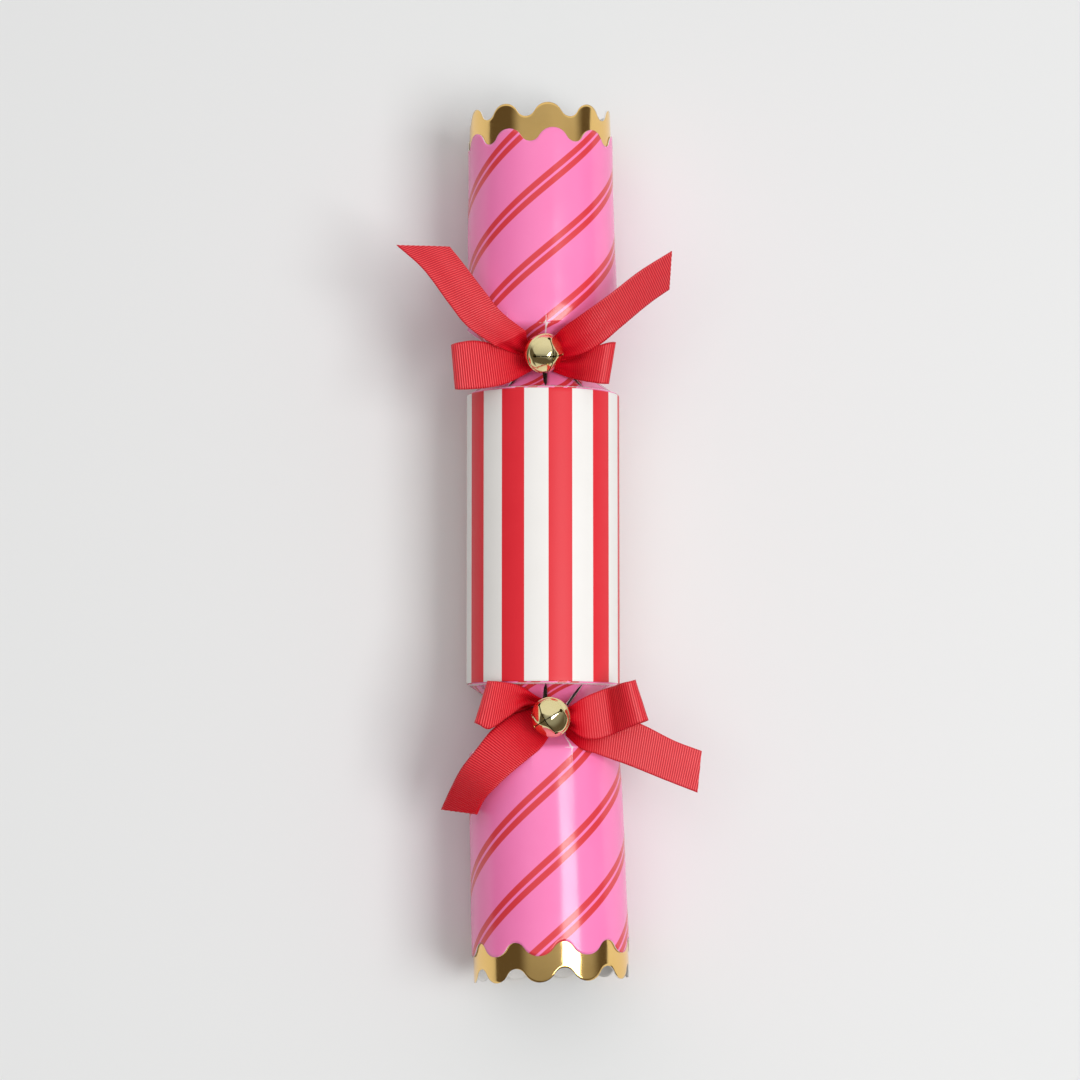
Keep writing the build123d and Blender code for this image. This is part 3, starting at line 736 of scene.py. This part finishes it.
def scallop_drop(turn, crest_angle, radius):
    """How far the wavy edge lies below its crests at a turn."""
    step = 360 / scallop_count
    half_period = radius * sin(radians(step / 2))
    arc_sum = (half_period**2 + scallop_depth**2) / (2 * scallop_depth)
    crest_arc = arc_sum * crest_share
    trough_arc = arc_sum - crest_arc
    join = half_period * trough_arc / arc_sum
    from_trough = (turn - crest_angle) % step - step / 2
    side_way = min(abs(radius * sin(radians(from_trough))), half_period)
    if side_way <= join:
        return scallop_depth - trough_arc + sqrt(trough_arc**2 - side_way**2)
    return crest_arc - sqrt(max(crest_arc**2 - (half_period - side_way) ** 2, 0.0))


def ripple(point):
    """Slow unevenness of handled paper."""
    return settle_height * noise.noise(point / settle_size)


# Paper, foil and card


def turns_between_corners(corner, per_panel):
    """Turns round the cracker from its underside, with one at each corner of the panels."""
    first = corner - 180
    return [first + panel_turn * i / per_panel for i in range(panel_count * per_panel)]


def tail_paper(name, end, neck):
    """Printed wrapper of one tail: panels of the neck, the crease, and the body out to its wavy mouth."""
    turns = turns_between_corners(end["corner"], steps_per_panel)
    neck_rows = 10
    body_rows = 64
    rows, places, wear_and_painted_light = [], [], []
    side = end["side"]
    # Marks: white at the panel corners and along the crease, rubbed paper with a painted fold highlight.
    for i in range(neck_rows + body_rows + 1):
        row, place_row, mark_row = [], [], []
        for turn in turns:
            if i < neck_rows:
                share = i / neck_rows
                along = tear_gap / 2 + share * (crease - tear_gap / 2)
                corner_radius = waist_radius + share * (crease_radius - waist_radius)
                radius = panel_radius(corner_radius, turn, end["corner"])
                paper = crease - (1 - share) * sqrt((crease_radius - waist_radius) ** 2 + finger_length**2)
                marks = near_corner(turn, end["corner"], 2.2) * (0.35 + 0.65 * share)
            else:
                share = (i - neck_rows) / body_rows
                edge = pink_crest(end) - scallop_drop(turn, end["pink_crest_angle"], end["mouth_radius"])
                along = crease + share * (edge - crease)
                radius = relaxing_radius(end, turn, along, 0.0)
                paper = along
                ridge = near_corner(turn, end["corner"], 1.6) * max(0.0, 1 - share * 5)
                fold = max(0.0, 1 - (along - crease) / fold_wear_and_highlight)
                marks = max(0.8 * ridge, 0.45 * fold + 0.3 * fold * near_corner(turn, end["corner"], 8.0))
            point = neck.point(turn, along, radius)
            settle = ripple(point) * min(1.0, max(0.0, (along - crease) / settle_start))
            row.append(neck.point(turn, along, radius + settle))
            place_row.append((turn / 360, side * (neck_y + paper) / (100 * mm)))
            mark_row.append(marks)
        place_row.append((place_row[0][0] + 1, place_row[0][1]))
        rows.append(row)
        places.append(place_row)
        wear_and_painted_light.append(mark_row)
    if side < 0:
        rows, places, wear_and_painted_light = rows[::-1], places[::-1], wear_and_painted_light[::-1]
    return sheet_mesh(name, rows, places, "paper", True, wear_and_painted_light)


def foil_mesh(name, end, neck):
    """Gold foil card inside the mouth of a tail, with its own wavy edge."""
    turns = turns_between_corners(end["corner"], steps_per_panel)
    crest = gold_crest(end)
    start = pink_crest(end) - cuff_overlap
    inset = wrapper_paper + glue_line
    row_count = 40
    rows, places = [], []
    side = end["side"]
    mouth = tail_radius(end, crest) - inset
    for i in range(row_count + 1):
        share = i / row_count
        row, place_row = [], []
        for turn in turns:
            edge = crest - scallop_drop(turn, end["gold_crest_angle"], mouth)
            along = start + share * (edge - start)
            point = neck.point(turn, along, relaxing_radius(end, turn, along, inset))
            settle = ripple(point)
            row.append(neck.point(turn, along, relaxing_radius(end, turn, along, inset) + settle))
            place_row.append((turn / 360, along / (100 * mm)))
        place_row.append((place_row[0][0] + 1, place_row[0][1]))
        rows.append(row)
        places.append(place_row)
    if side < 0:
        rows, places = rows[::-1], places[::-1]
    return sheet_mesh(name, rows, places, "paper", True)


def flatted_radius(radius, turn):
    """Round section of the barrel, with the flat of the glued lap at its underside."""
    flat_level = axis_height - (band_radius - radius)
    down = -cos(radians(turn))
    if down > 0 and radius * down > flat_level:
        return flat_level / down
    return radius


def band_mesh(name):
    """Striped band round the barrel, its edges turned in a hair."""
    neck = Neck(1, 0)
    turns = [360 * i / 360 for i in range(360)]
    half = barrel_length / 2 - band_inset
    stations = [-half, -half + 0.25 * mm, -half + 1.5 * mm]
    stations += [half * (i / 12) for i in range(-11, 12)]
    stations += [half - 1.5 * mm, half - 0.25 * mm, half]
    rows, places = [], []
    for along in stations:
        pulled = 0.06 * mm if abs(along) == half else 0.0
        rows.append([neck.point(turn, along, flatted_radius(band_radius - pulled, turn)) for turn in turns])
        places.append([(i / 360, along / (100 * mm)) for i in range(361)])
    return sheet_mesh(name, rows, places, "paper", True)


def finger_mesh(name):
    """Wrapper on the barrel: a rim at each end, and twelve slit fingers folded in to the waist."""
    mesh = bpy.data.meshes.new(name)
    build = bmesh.new()
    uv_layer = build.loops.layers.uv.new("paper")
    mark_layer = build.verts.layers.float.new("wear_and_painted_light")
    across_count = 10
    along_count = 14
    for side in (1, -1):
        neck = Neck(side, barrel_length / 2)
        for panel in range(panel_count):
            first = barrel_corner + panel * panel_turn
            grid, places = [], []
            lift = finger_lift * sin(panel * 2.4 + side)
            for i in range(along_count + 3):
                row, place_row = [], []
                for j in range(across_count + 1):
                    share = j / across_count
                    turn = first + panel_turn * share
                    # Marks: white along the two folds at the barrel rim, rubbed paper with a painted edge
                    # highlight.
                    mark = 0.0
                    if i < 3:
                        along = (-finger_rim, -0.35 * mm, -0.1 * mm)[i]
                        pulled = (0.0, 0.0, 0.12 * mm)[i]
                        point = neck.point(turn, along, flatted_radius(wrapper_radius - pulled, turn))
                        paper = along
                        mark = 0.9 if i == 2 else 0.0
                    else:
                        down = (i - 3) / (along_count - 1)
                        slit = slit_at_barrel + down * (slit_at_waist - slit_at_barrel)
                        slit *= min(1.0, down * 8)
                        corner_radius = finger_base_radius + down * (waist_radius - finger_base_radius)
                        one = neck.point(first, down * finger_length, corner_radius)
                        two = neck.point(first + panel_turn, down * finger_length, corner_radius)
                        chord = (two - one).length
                        inner = slit / 2 / chord
                        point = one.lerp(two, inner + share * (1 - 2 * inner))
                        spoke = (point - neck.point(turn, down * finger_length, 0)).normalized()
                        point = point + spoke * lift * down * sin(pi * share)
                        slant = sqrt((finger_base_radius - waist_radius) ** 2 + finger_length**2)
                        paper = down * slant
                        mark = 0.9 if i == 3 else 0.0
                    vert = build.verts.new(point)
                    vert[mark_layer] = mark
                    row.append(vert)
                    place_row.append((turn / 360, side * (barrel_length / 2 + paper) / (100 * mm)))
                grid.append(row)
                places.append(place_row)
            for i in range(len(grid) - 1):
                for j in range(across_count):
                    corners = [(i, j), (i, j + 1), (i + 1, j + 1), (i + 1, j)]
                    if side < 0:
                        corners.reverse()
                    face = build.faces.new([grid[r][c] for r, c in corners])
                    face.smooth = True
                    for loop, (r, c) in zip(face.loops, corners):
                        loop[uv_layer].uv = places[r][c]
    bmesh.ops.remove_doubles(build, verts=build.verts, dist=0.002 * mm)
    build.normal_update()
    build.to_mesh(mesh)
    build.free()
    return mesh


def tube_mesh(name, end, neck):
    """Card tube that keeps a tail round."""
    near = crease + end_tube_setback
    turns = [360 * i / 120 for i in range(120)]
    rows, places = [], []
    for i in range(13):
        along = near + end_tube_length * i / 12
        rows.append([neck.point(turn, along, tail_radius(end, along) - tube_inset) for turn in turns])
        places.append([(j / 120, along / (100 * mm)) for j in range(121)])
    if end["side"] < 0:
        rows, places = rows[::-1], places[::-1]
    return sheet_mesh(name, rows, places, "paper", True)


# Ribbon


def ribbon_mesh(name, stretches, cut=None, shaded_tip=0.0):
    """Grosgrain sheet between two edges given by pairs of points, ribbed across and trimmed at its cut."""
    base = Vector((0, 0, axis_height))
    across_count = 16
    rows, places, lines = [], [], []
    ribs = 0.0
    for stretch in stretches:
        edges = [[Vector(pair[k]) * mm + base for pair in stretch] for k in (0, 1)]
        middle = [(one + two) / 2 for one, two in zip(*edges)]
        length = sum((two - one).length for one, two in zip(middle, middle[1:]))
        count = int(length / rib_pitch * samples_per_rib) + 2
        sides = [sample_spline(edge, count) for edge in edges]
        for i in range(count):
            if i:
                step = ((sides[0][i] + sides[1][i]) - (sides[0][i - 1] + sides[1][i - 1])).length / 2
                ribs += step / rib_pitch
            elif rows:
                continue
            one, two = sides[0][i], sides[1][i]
            ahead = sides[0][min(i + 1, count - 1)] - sides[0][max(i - 1, 0)]
            normal = ahead.cross(two - one).normalized()
            slack = max(0.0, 1 - (two - one).length / ribbon_width)
            row = []
            for j in range(across_count + 1):
                share = j / across_count
                pleat = sin(3 * pi * share) * pleat_height * slack**1.5
                rib = rib_height * sin(2 * pi * ribs)
                row.append(one.lerp(two, share) + normal * (pleat + rib))
            rows.append(row)
            lines.append((one + two) / 2)
            places.append([(j / across_count, ribs) for j in range(across_count + 1)])
    last = ribs if cut is None else 2 * ribs
    # Painted shade per row: darkest at the knot and fading away from it, and darkest at the tip where a
    # shaded tip is given.
    painted_shade = []
    for place_row in places:
        from_knot = min(place_row[0][1], last - place_row[0][1]) * rib_pitch
        from_tip = (ribs - place_row[0][1]) * rib_pitch
        shade = exp(-((from_knot / painted_shade_reach) ** 2))
        if shaded_tip:
            shade = max(shade, painted_tip_shade * exp(-((from_tip / shaded_tip) ** 4)))
        painted_shade.append([shade] * (across_count + 1))
    mesh = sheet_mesh(name, rows, places, "weave", False, painted_shade)
    if cut:
        build = bmesh.new()
        build.from_mesh(mesh)
        start, finish = (Vector((*point, 0)) * mm for point in cut)
        level = (finish - start).cross(Vector((0, 0, 1))).normalized()
        if (lines[0] - start).dot(level) > 0:
            level = -level
        everything = build.verts[:] + build.edges[:] + build.faces[:]
        bmesh.ops.bisect_plane(build, geom=everything, plane_co=start, plane_no=level, clear_outer=True)
        build.to_mesh(mesh)
        build.free()
        lines = [point for point in lines if (point - start).dot(level) <= 0]
    length = sum((two - one).length for one, two in zip(lines, lines[1:]))
    return mesh, length


def ribbon_piece(name, mesh, body, node):
    """Ribbon sheet with its thickness."""
    piece = add_piece(name, mesh, ["red_ribbon"], body, [node])
    thicken(piece, ribbon_thickness, 0, 0, 0.0)
    return piece


def wrap_mesh(name, neck):
    """Ribbon pulled tight round the neck, gathered into pleats in the groove."""
    across_count = 49
    around_count = 480
    profile = [Vector((along, radius, 0)) for along, radius in wrap_pleats]
    line = sample_spline(profile, across_count + 1)
    rows, places = [], []
    for i in range(around_count):
        turn = 360 * i / around_count
        wave = wrap_waver * sin(radians(7 * turn))
        rows.append([neck.point(turn, place.x * mm + wave, place.y * mm) for place in line])
    rows.append(rows[0])
    around = 2 * pi * wrap_radius / rib_pitch
    for i in range(around_count + 1):
        places.append([(j / across_count, around * i / around_count) for j in range(across_count + 1)])
    # Painted shade over the whole wrap.
    shade = [[gathered_painted_shade] * len(row) for row in rows]
    return sheet_mesh(name, rows, places, "weave", False, shade)


def knot_mesh(name, end):
    """Knot: one turn of gathered ribbon over the crossing, puckered on both sides."""
    centre = Vector((end["knot_x"], end["side"] * neck_y, axis_height + knot_floor + knot_height / 2))
    around_count = 160
    across_count = 40
    rows, places = [], []
    around = knot_turn / rib_pitch
    for i in range(around_count + 1):
        spin = 2 * pi * i / around_count
        row = []
        for j in range(across_count + 1):
            share = 2 * j / across_count - 1
            pucker = knot_pucker * sin(9 * pi * share + 0.6 * sin(3 * spin))
            waist = 1 - knot_waist * (1 - share**2) + pucker
            swell = abs(cos(spin)) ** 0.6 * (1 if cos(spin) > 0 else -1)
            rise = abs(sin(spin)) ** 0.6 * (1 if sin(spin) > 0 else -1)
            deep = knot_half_deep * swell * waist
            high = knot_half_high * rise * waist
            row.append(centre + Vector((knot_half_wide * share, deep, high)))
        rows.append(row)
        places.append([(j / across_count, around * i / around_count) for j in range(across_count + 1)])
    # Painted shade over the whole knot.
    shade = [[gathered_painted_shade] * len(row) for row in rows]
    return sheet_mesh(name, rows, places, "weave", False, shade)


# Bells


def bell_frame(end, pole_name):
    """Matrix of a bell about its middle, with the named pole up."""
    eye_x, eye_y = end["bell_eye"]
    eye = Vector((eye_x, end["side"] * neck_y + eye_y, axis_height + knot_top + thread_arch))
    centre = eye + Vector(end["bell_lean"]).normalized() * (bell_radius + thread_room)
    pole = Vector(end[pole_name]).normalized()
    level = (Vector((0, 1, 0)) - pole * pole.y).normalized()
    turned = Matrix((level, pole.cross(level), pole)).transposed().to_4x4()
    return Matrix.Translation(centre) @ turned


def spun_shell(profile, steps):
    """Closed profile in radius and height, spun into a shell."""
    build = bmesh.new()
    rings = []
    for i in range(steps):
        spin = 2 * pi * i / steps
        rings.append([build.verts.new((r * cos(spin), r * sin(spin), z)) for r, z in profile])
    count = len(profile)
    for i in range(steps):
        here, there = rings[i], rings[(i + 1) % steps]
        for j in range(count):
            k = (j + 1) % count
            build.faces.new((here[j], there[j], there[k], here[k])).smooth = True
    bmesh.ops.remove_doubles(build, verts=build.verts, dist=0.001 * mm)
    bmesh.ops.recalc_face_normals(build, faces=build.faces)
    return build


def dome_profile(radius, low, high, steps):
    """Arc of a half shell from one angle above the equator to another."""
    angles = [radians(low + (high - low) * i / steps) for i in range(steps + 1)]
    return [(radius * cos(angle), radius * sin(angle)) for angle in angles]


def plain_shell_mesh(name):
    """Half of a bell without slots."""
    inner = bell_radius - bell_wall
    profile = dome_profile(bell_radius, 0, -89.9, 40) + dome_profile(inner, -89.9, 0, 40)
    build = spun_shell(profile, 96)
    mesh = bpy.data.meshes.new(name)
    build.to_mesh(mesh)
    build.free()
    return mesh


def slot_cutter():
    """Crossed slots with round ends, to be cut out of a half shell."""
    build = bmesh.new()
    reach = bell_radius * sin(radians(slot_end_angle))
    for turn in (0, 90):
        spin = Matrix.Rotation(radians(turn), 4, "Z")
        block = Matrix.Diagonal((2 * reach, bell_slot, 2 * bell_radius, 1))
        lift = Matrix.Translation((0, 0, bell_radius))
        bmesh.ops.create_cube(build, size=1.0, matrix=spin @ lift @ block)
    mesh = bpy.data.meshes.new("slot_cutter")
    build.to_mesh(mesh)
    build.free()
    return mesh


def round_cutter(turn):
    """Drill for the round end of one slot."""
    build = bmesh.new()
    tilt = Matrix.Rotation(radians(turn), 4, "Z") @ Matrix.Rotation(radians(slot_end_angle), 4, "Y")
    bmesh.ops.create_cone(
        build,
        cap_ends=True,
        segments=40,
        radius1=slot_end_radius,
        radius2=slot_end_radius,
        depth=2 * bell_radius,
        matrix=tilt @ Matrix.Translation((0, 0, bell_radius)),
    )
    mesh = bpy.data.meshes.new("slot_end_cutter")
    build.to_mesh(mesh)
    build.free()
    return mesh


def press_petals(build, turn):
    """Press four flat faces into a half shell, between its slots."""
    tilt = radians(petal_tilt)
    faces = []
    for quarter in range(45, 405, 90):
        spin = radians(turn + quarter)
        faces.append(Vector((cos(tilt) * cos(spin), cos(tilt) * sin(spin), sin(tilt))))
    for vert in build.verts:
        way = vert.co.normalized()
        height = degrees(atan2(vert.co.z, hypot(vert.co.x, vert.co.y)))
        near = sum(max(0.0, way.dot(face)) ** 14 for face in faces) ** (1 / 14)
        flat = max(0.0, 1 - petal_flat / near) * min(1.0, max(0.0, (height - 8) / 18))
        vert.co *= 1 - petal_press * flat


def slotted_shell_mesh(name, turn):
    """Half of a bell with its seam bead, crossed slots and rounded lips."""
    inner = bell_radius - bell_wall
    bead_steps = 8
    bead = []
    for i in range(bead_steps + 1):
        share = i / bead_steps
        bead.append((bell_radius + seam_bead * sin(pi * share), seam_height * share))
    low = degrees(asin(seam_height / bell_radius))
    profile = bead + dome_profile(bell_radius, low + 1, 89.9, 40) + dome_profile(inner, 89.9, 0, 40)
    build = spun_shell(profile, 128)
    press_petals(build, turn)
    mesh = bpy.data.meshes.new(name)
    build.to_mesh(mesh)
    build.free()
    whole = bpy.data.objects.new(name, mesh)
    bpy.context.scene.collection.objects.link(whole)
    cutters = []
    for cutter_mesh in (slot_cutter(), *(round_cutter(quarter) for quarter in range(0, 360, 90))):
        cutter = bpy.data.objects.new("cutter", cutter_mesh)
        bpy.context.scene.collection.objects.link(cutter)
        cutter.rotation_euler.z = radians(turn)
        cutters.append(cutter)
        cutting = whole.modifiers.new("slot", "BOOLEAN")
        cutting.operation = "DIFFERENCE"
        cutting.solver = "EXACT"
        cutting.use_self = cutter is cutters[0]
        cutting.object = cutter
    lips = whole.modifiers.new("lips", "BEVEL")
    lips.width = slot_lip
    lips.segments = 3
    lips.limit_method = "ANGLE"
    lips.angle_limit = radians(50)
    bpy.context.view_layer.update()
    shown = whole.evaluated_get(bpy.context.evaluated_depsgraph_get())
    cut_mesh = bpy.data.meshes.new_from_object(shown)
    for unwanted in (whole, *cutters):
        bpy.data.objects.remove(unwanted)
    for face in cut_mesh.polygons:
        face.use_smooth = True
    return cut_mesh


def wire(name, points, radius, slot, body, node):
    """Round wire along a smooth line."""
    line = bpy.data.curves.new(name, "CURVE")
    line.dimensions = "3D"
    line.bevel_depth = radius
    line.bevel_resolution = 4
    line.use_fill_caps = True
    spline = line.splines.new("NURBS")
    spline.points.add(len(points) - 1)
    for place, point in zip(spline.points, points):
        place.co = (*point, 1.0)
    spline.order_u = 3
    spline.use_endpoint_u = True
    spline.resolution_u = 12
    piece = bpy.data.objects.new(name, line)
    bpy.context.scene.collection.objects.link(piece)
    line.materials.append(materials[slot])
    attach(piece, body)
    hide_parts(node)
    return piece


def build_bell(end_name, end):
    """Two shells, the wire eye and the thread through it."""
    shell_place = bell_frame(end, "bell_face")
    eye_place = bell_frame(end, "bell_lean")
    body = f"{end_name}_bell"
    plain = plain_shell_mesh(f"{end_name}_bell_back")
    slotted = slotted_shell_mesh(f"{end_name}_bell_front", end["slot_turn"])
    for mesh, node in ((plain, "plain_shell"), (slotted, "slotted_shell")):
        mesh.transform(shell_place)
        add_piece(mesh.name, mesh, ["bell_brass"], body, [f"{end_name}_bell_{node}"])
    shoulder = -bell_radius - eye_leg
    foot = -bell_radius + bell_wall
    outline = [
        (eye_half_width, foot),
        (eye_half_width, shoulder),
        (eye_half_width, shoulder - 1.3 * eye_half_width),
        (-eye_half_width, shoulder - 1.3 * eye_half_width),
        (-eye_half_width, shoulder),
        (-eye_half_width, foot),
    ]
    points = [eye_place @ Vector((across, 0, height)) for across, height in outline]
    wire(f"{end_name}_bell_wire_eye", points, eye_wire / 2, "bell_brass", body, f"{end_name}_bell_eye")
    eye_x, eye_y = end["bell_eye"]
    stand = Vector((eye_x, end["side"] * neck_y + eye_y, axis_height + knot_top - 0.1 * mm))
    strands = [
        stand + Vector((thread_arch * cos(radians(angle)), 0, thread_arch * sin(radians(angle))))
        for angle in range(0, 181, 20)
    ]
    tail = f"{end_name}_tail"
    wire(f"{end_name}_bell_tie", strands, thread_diameter / 2, "thread", tail, f"{end_name}_bell_thread")


# Build the cracker


def build_barrel():
    """Band and fingers; the tube and the contents keep their solids."""
    name = "striped_band_sheet"
    sides = ["striped_paper", "white_paper"]
    band = add_piece(name, band_mesh(name), sides, "barrel", ["striped_band"])
    thicken(band, band_paper)
    name = "barrel_wrapper_sheet"
    sides = ["pink_barrel", "white_paper"]
    fingers = add_piece(name, finger_mesh(name), sides, "barrel", ["wrapper_barrel"])
    thicken(fingers, wrapper_paper)


def build_tail(end_name, end):
    """One tail with its foil, tube, bow and bell."""
    body = f"{end_name}_tail"
    neck = Neck(end["side"], neck_y, end["lean"], end["rise"])
    name = f"{end_name}_tail_sheet"
    sides = [f"pink_{end_name}", "white_paper"]
    node = f"wrapper_{end_name}_tail"
    paper = add_piece(name, tail_paper(name, end, neck), sides, body, [node])
    thicken(paper, wrapper_paper)
    name = f"{end_name}_foil_sheet"
    sides = ["gold_foil", "white_paper"]
    node = f"{end_name}_foil_cuff"
    foil = add_piece(name, foil_mesh(name, end, neck), sides, body, [node])
    thicken(foil, foil_card)
    name = f"{end_name}_tube_card"
    node = f"{end_name}_end_tube"
    tube = add_piece(name, tube_mesh(name, end, neck), ["tube_card"], body, [node])
    thicken(tube, tube_card, 0, 0)
    for hand, stretches in end["loops"].items():
        name = f"{end_name}_{hand}_loop_ribbon"
        mesh, length = ribbon_mesh(name, stretches)
        ribbon_piece(name, mesh, body, f"{end_name}_bow_{hand}_loop")
    for hand, shape in end["ribbon_ends"].items():
        name = f"{end_name}_{hand}_end_ribbon"
        mesh, length = ribbon_mesh(name, shape["stretches"], shape["cut"], shape.get("shaded_tip", 0.0))
        ribbon_piece(name, mesh, body, f"{end_name}_bow_{hand}_end")
    name = f"{end_name}_wrap_ribbon"
    ribbon_piece(name, wrap_mesh(name, neck), body, f"{end_name}_ribbon_wrap")
    name = f"{end_name}_knot_ribbon"
    ribbon_piece(name, knot_mesh(name, end), body, f"{end_name}_bow_knot")
    build_bell(end_name, end)


def finish_hidden_nodes():
    """Materials for the solids that are kept."""
    kept = {
        "barrel_tube": "tube_card",
        "paper_crown": "tissue",
        "motto_slip": "white_paper",
        "gift_spinning_top": "gift_plastic",
        "snap_strip_top": "snap_card",
        "snap_strip_bottom": "snap_card",
        "snap_friction_coat": "snap_coat",
        "snap_charge_coat": "snap_coat",
        "snap_sleeve": "white_paper",
        "top_bell_pellet": "pellet_steel",
        "bottom_bell_pellet": "pellet_steel",
    }
    for node, key in kept.items():
        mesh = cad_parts[node].data
        mesh.materials.clear()
        mesh.materials.append(materials[key])


def lay_table():
    """Pale table top."""
    build = bmesh.new()
    bmesh.ops.create_grid(build, x_segments=1, y_segments=1, size=6.0)
    mesh = bpy.data.meshes.new("table_top")
    build.to_mesh(mesh)
    build.free()
    table = bpy.data.objects.new("table_top", mesh)
    bpy.context.scene.collection.objects.link(table)
    material, tree, shader = new_material("pale_table")
    cloud = put(tree, "ShaderNodeTexNoise", {"Scale": 3.0, "Detail": 2.0}).outputs["Fac"]
    pale = mix_colour(tree, cloud, (0.772, 0.78, 0.78), (0.792, 0.80, 0.80))
    tree.links.new(pale, shader.inputs["Base Color"])
    shader.inputs["Roughness"].default_value = 0.7
    mesh.materials.append(material)


def hang_lamp(name, size, energy, place):
    """Rectangular lamp aimed at the cracker."""
    lamp = bpy.data.lights.new(name, "AREA")
    lamp.shape = "RECTANGLE"
    lamp.size, lamp.size_y = size
    lamp.energy = energy
    holder = bpy.data.objects.new(name, lamp)
    holder.location = place
    holder.rotation_mode = "QUATERNION"
    aim = Vector((0, -20 * mm, 20 * mm)) - place
    holder.rotation_quaternion = aim.to_track_quat("-Z", "Y")
    bpy.context.scene.collection.objects.link(holder)
    return holder


def light_studio():
    """A soft lamp from the right and a fill overhead, in a room with dark walls and one white wall."""
    scene = bpy.context.scene
    world = bpy.data.worlds.new("dim_room")
    scene.world = world
    world.use_nodes = True
    tree = world.node_tree
    tree.nodes.clear()
    direction = tree.nodes.new("ShaderNodeTexCoord").outputs["Generated"]
    split = put(tree, "ShaderNodeSeparateXYZ", {"Vector": direction}).outputs
    slanted = calc(tree, "MULTIPLY_ADD", split["X"], 0.25, split["Z"])
    overhead = soft_step(tree, slanted, 0.45, 0.75)
    toward_wall = soft_step(tree, split["Y"], -0.1, 0.3)
    above = mix_colour(tree, toward_wall, (0.30, 0.30, 0.30), (0.56, 0.56, 0.56))
    ceiling = mix_colour(tree, overhead, (0.11, 0.09, 0.07), above)
    white_wall = soft_step(tree, split["Y"], 0.25, 0.7)
    colour = mix_colour(tree, white_wall, ceiling, (0.80, 0.80, 0.80))
    background = put(tree, "ShaderNodeBackground", {"Color": colour, "Strength": 1.0})
    output = tree.nodes.new("ShaderNodeOutputWorld")
    tree.links.new(background.outputs["Background"], output.inputs["Surface"])
    hang_lamp("softbox", (1.2, 1.1), 37.0, Vector((1.24, -0.34, 2.24)))
    fill = hang_lamp("overhead_fill", (1.6, 1.6), 9.8, Vector((-0.25, 0.1, 2.2)))
    fill.visible_glossy = False


def set_camera():
    """Camera nearly straight above, as in the photograph."""
    scene = bpy.context.scene
    scene.view_settings.view_transform = "Standard"
    camera = bpy.data.cameras.new("camera")
    camera.sensor_fit = "HORIZONTAL"
    camera.sensor_width = 36.0
    camera.lens = 114.9
    holder = bpy.data.objects.new("camera", camera)
    scene.collection.objects.link(holder)
    target = Vector((-1.02 * mm, 0, 25.5 * mm))
    tilt = radians(4.66)
    distance = 1.172
    holder.location = target + distance * Vector((0, -sin(tilt), cos(tilt)))
    holder.rotation_euler = (tilt, 0, 0)
    scene.camera = holder


set_camera()
light_studio()
lay_table()
build_barrel()
for end_name, end in ENDS.items():
    build_tail(end_name, end)
finish_hidden_nodes()
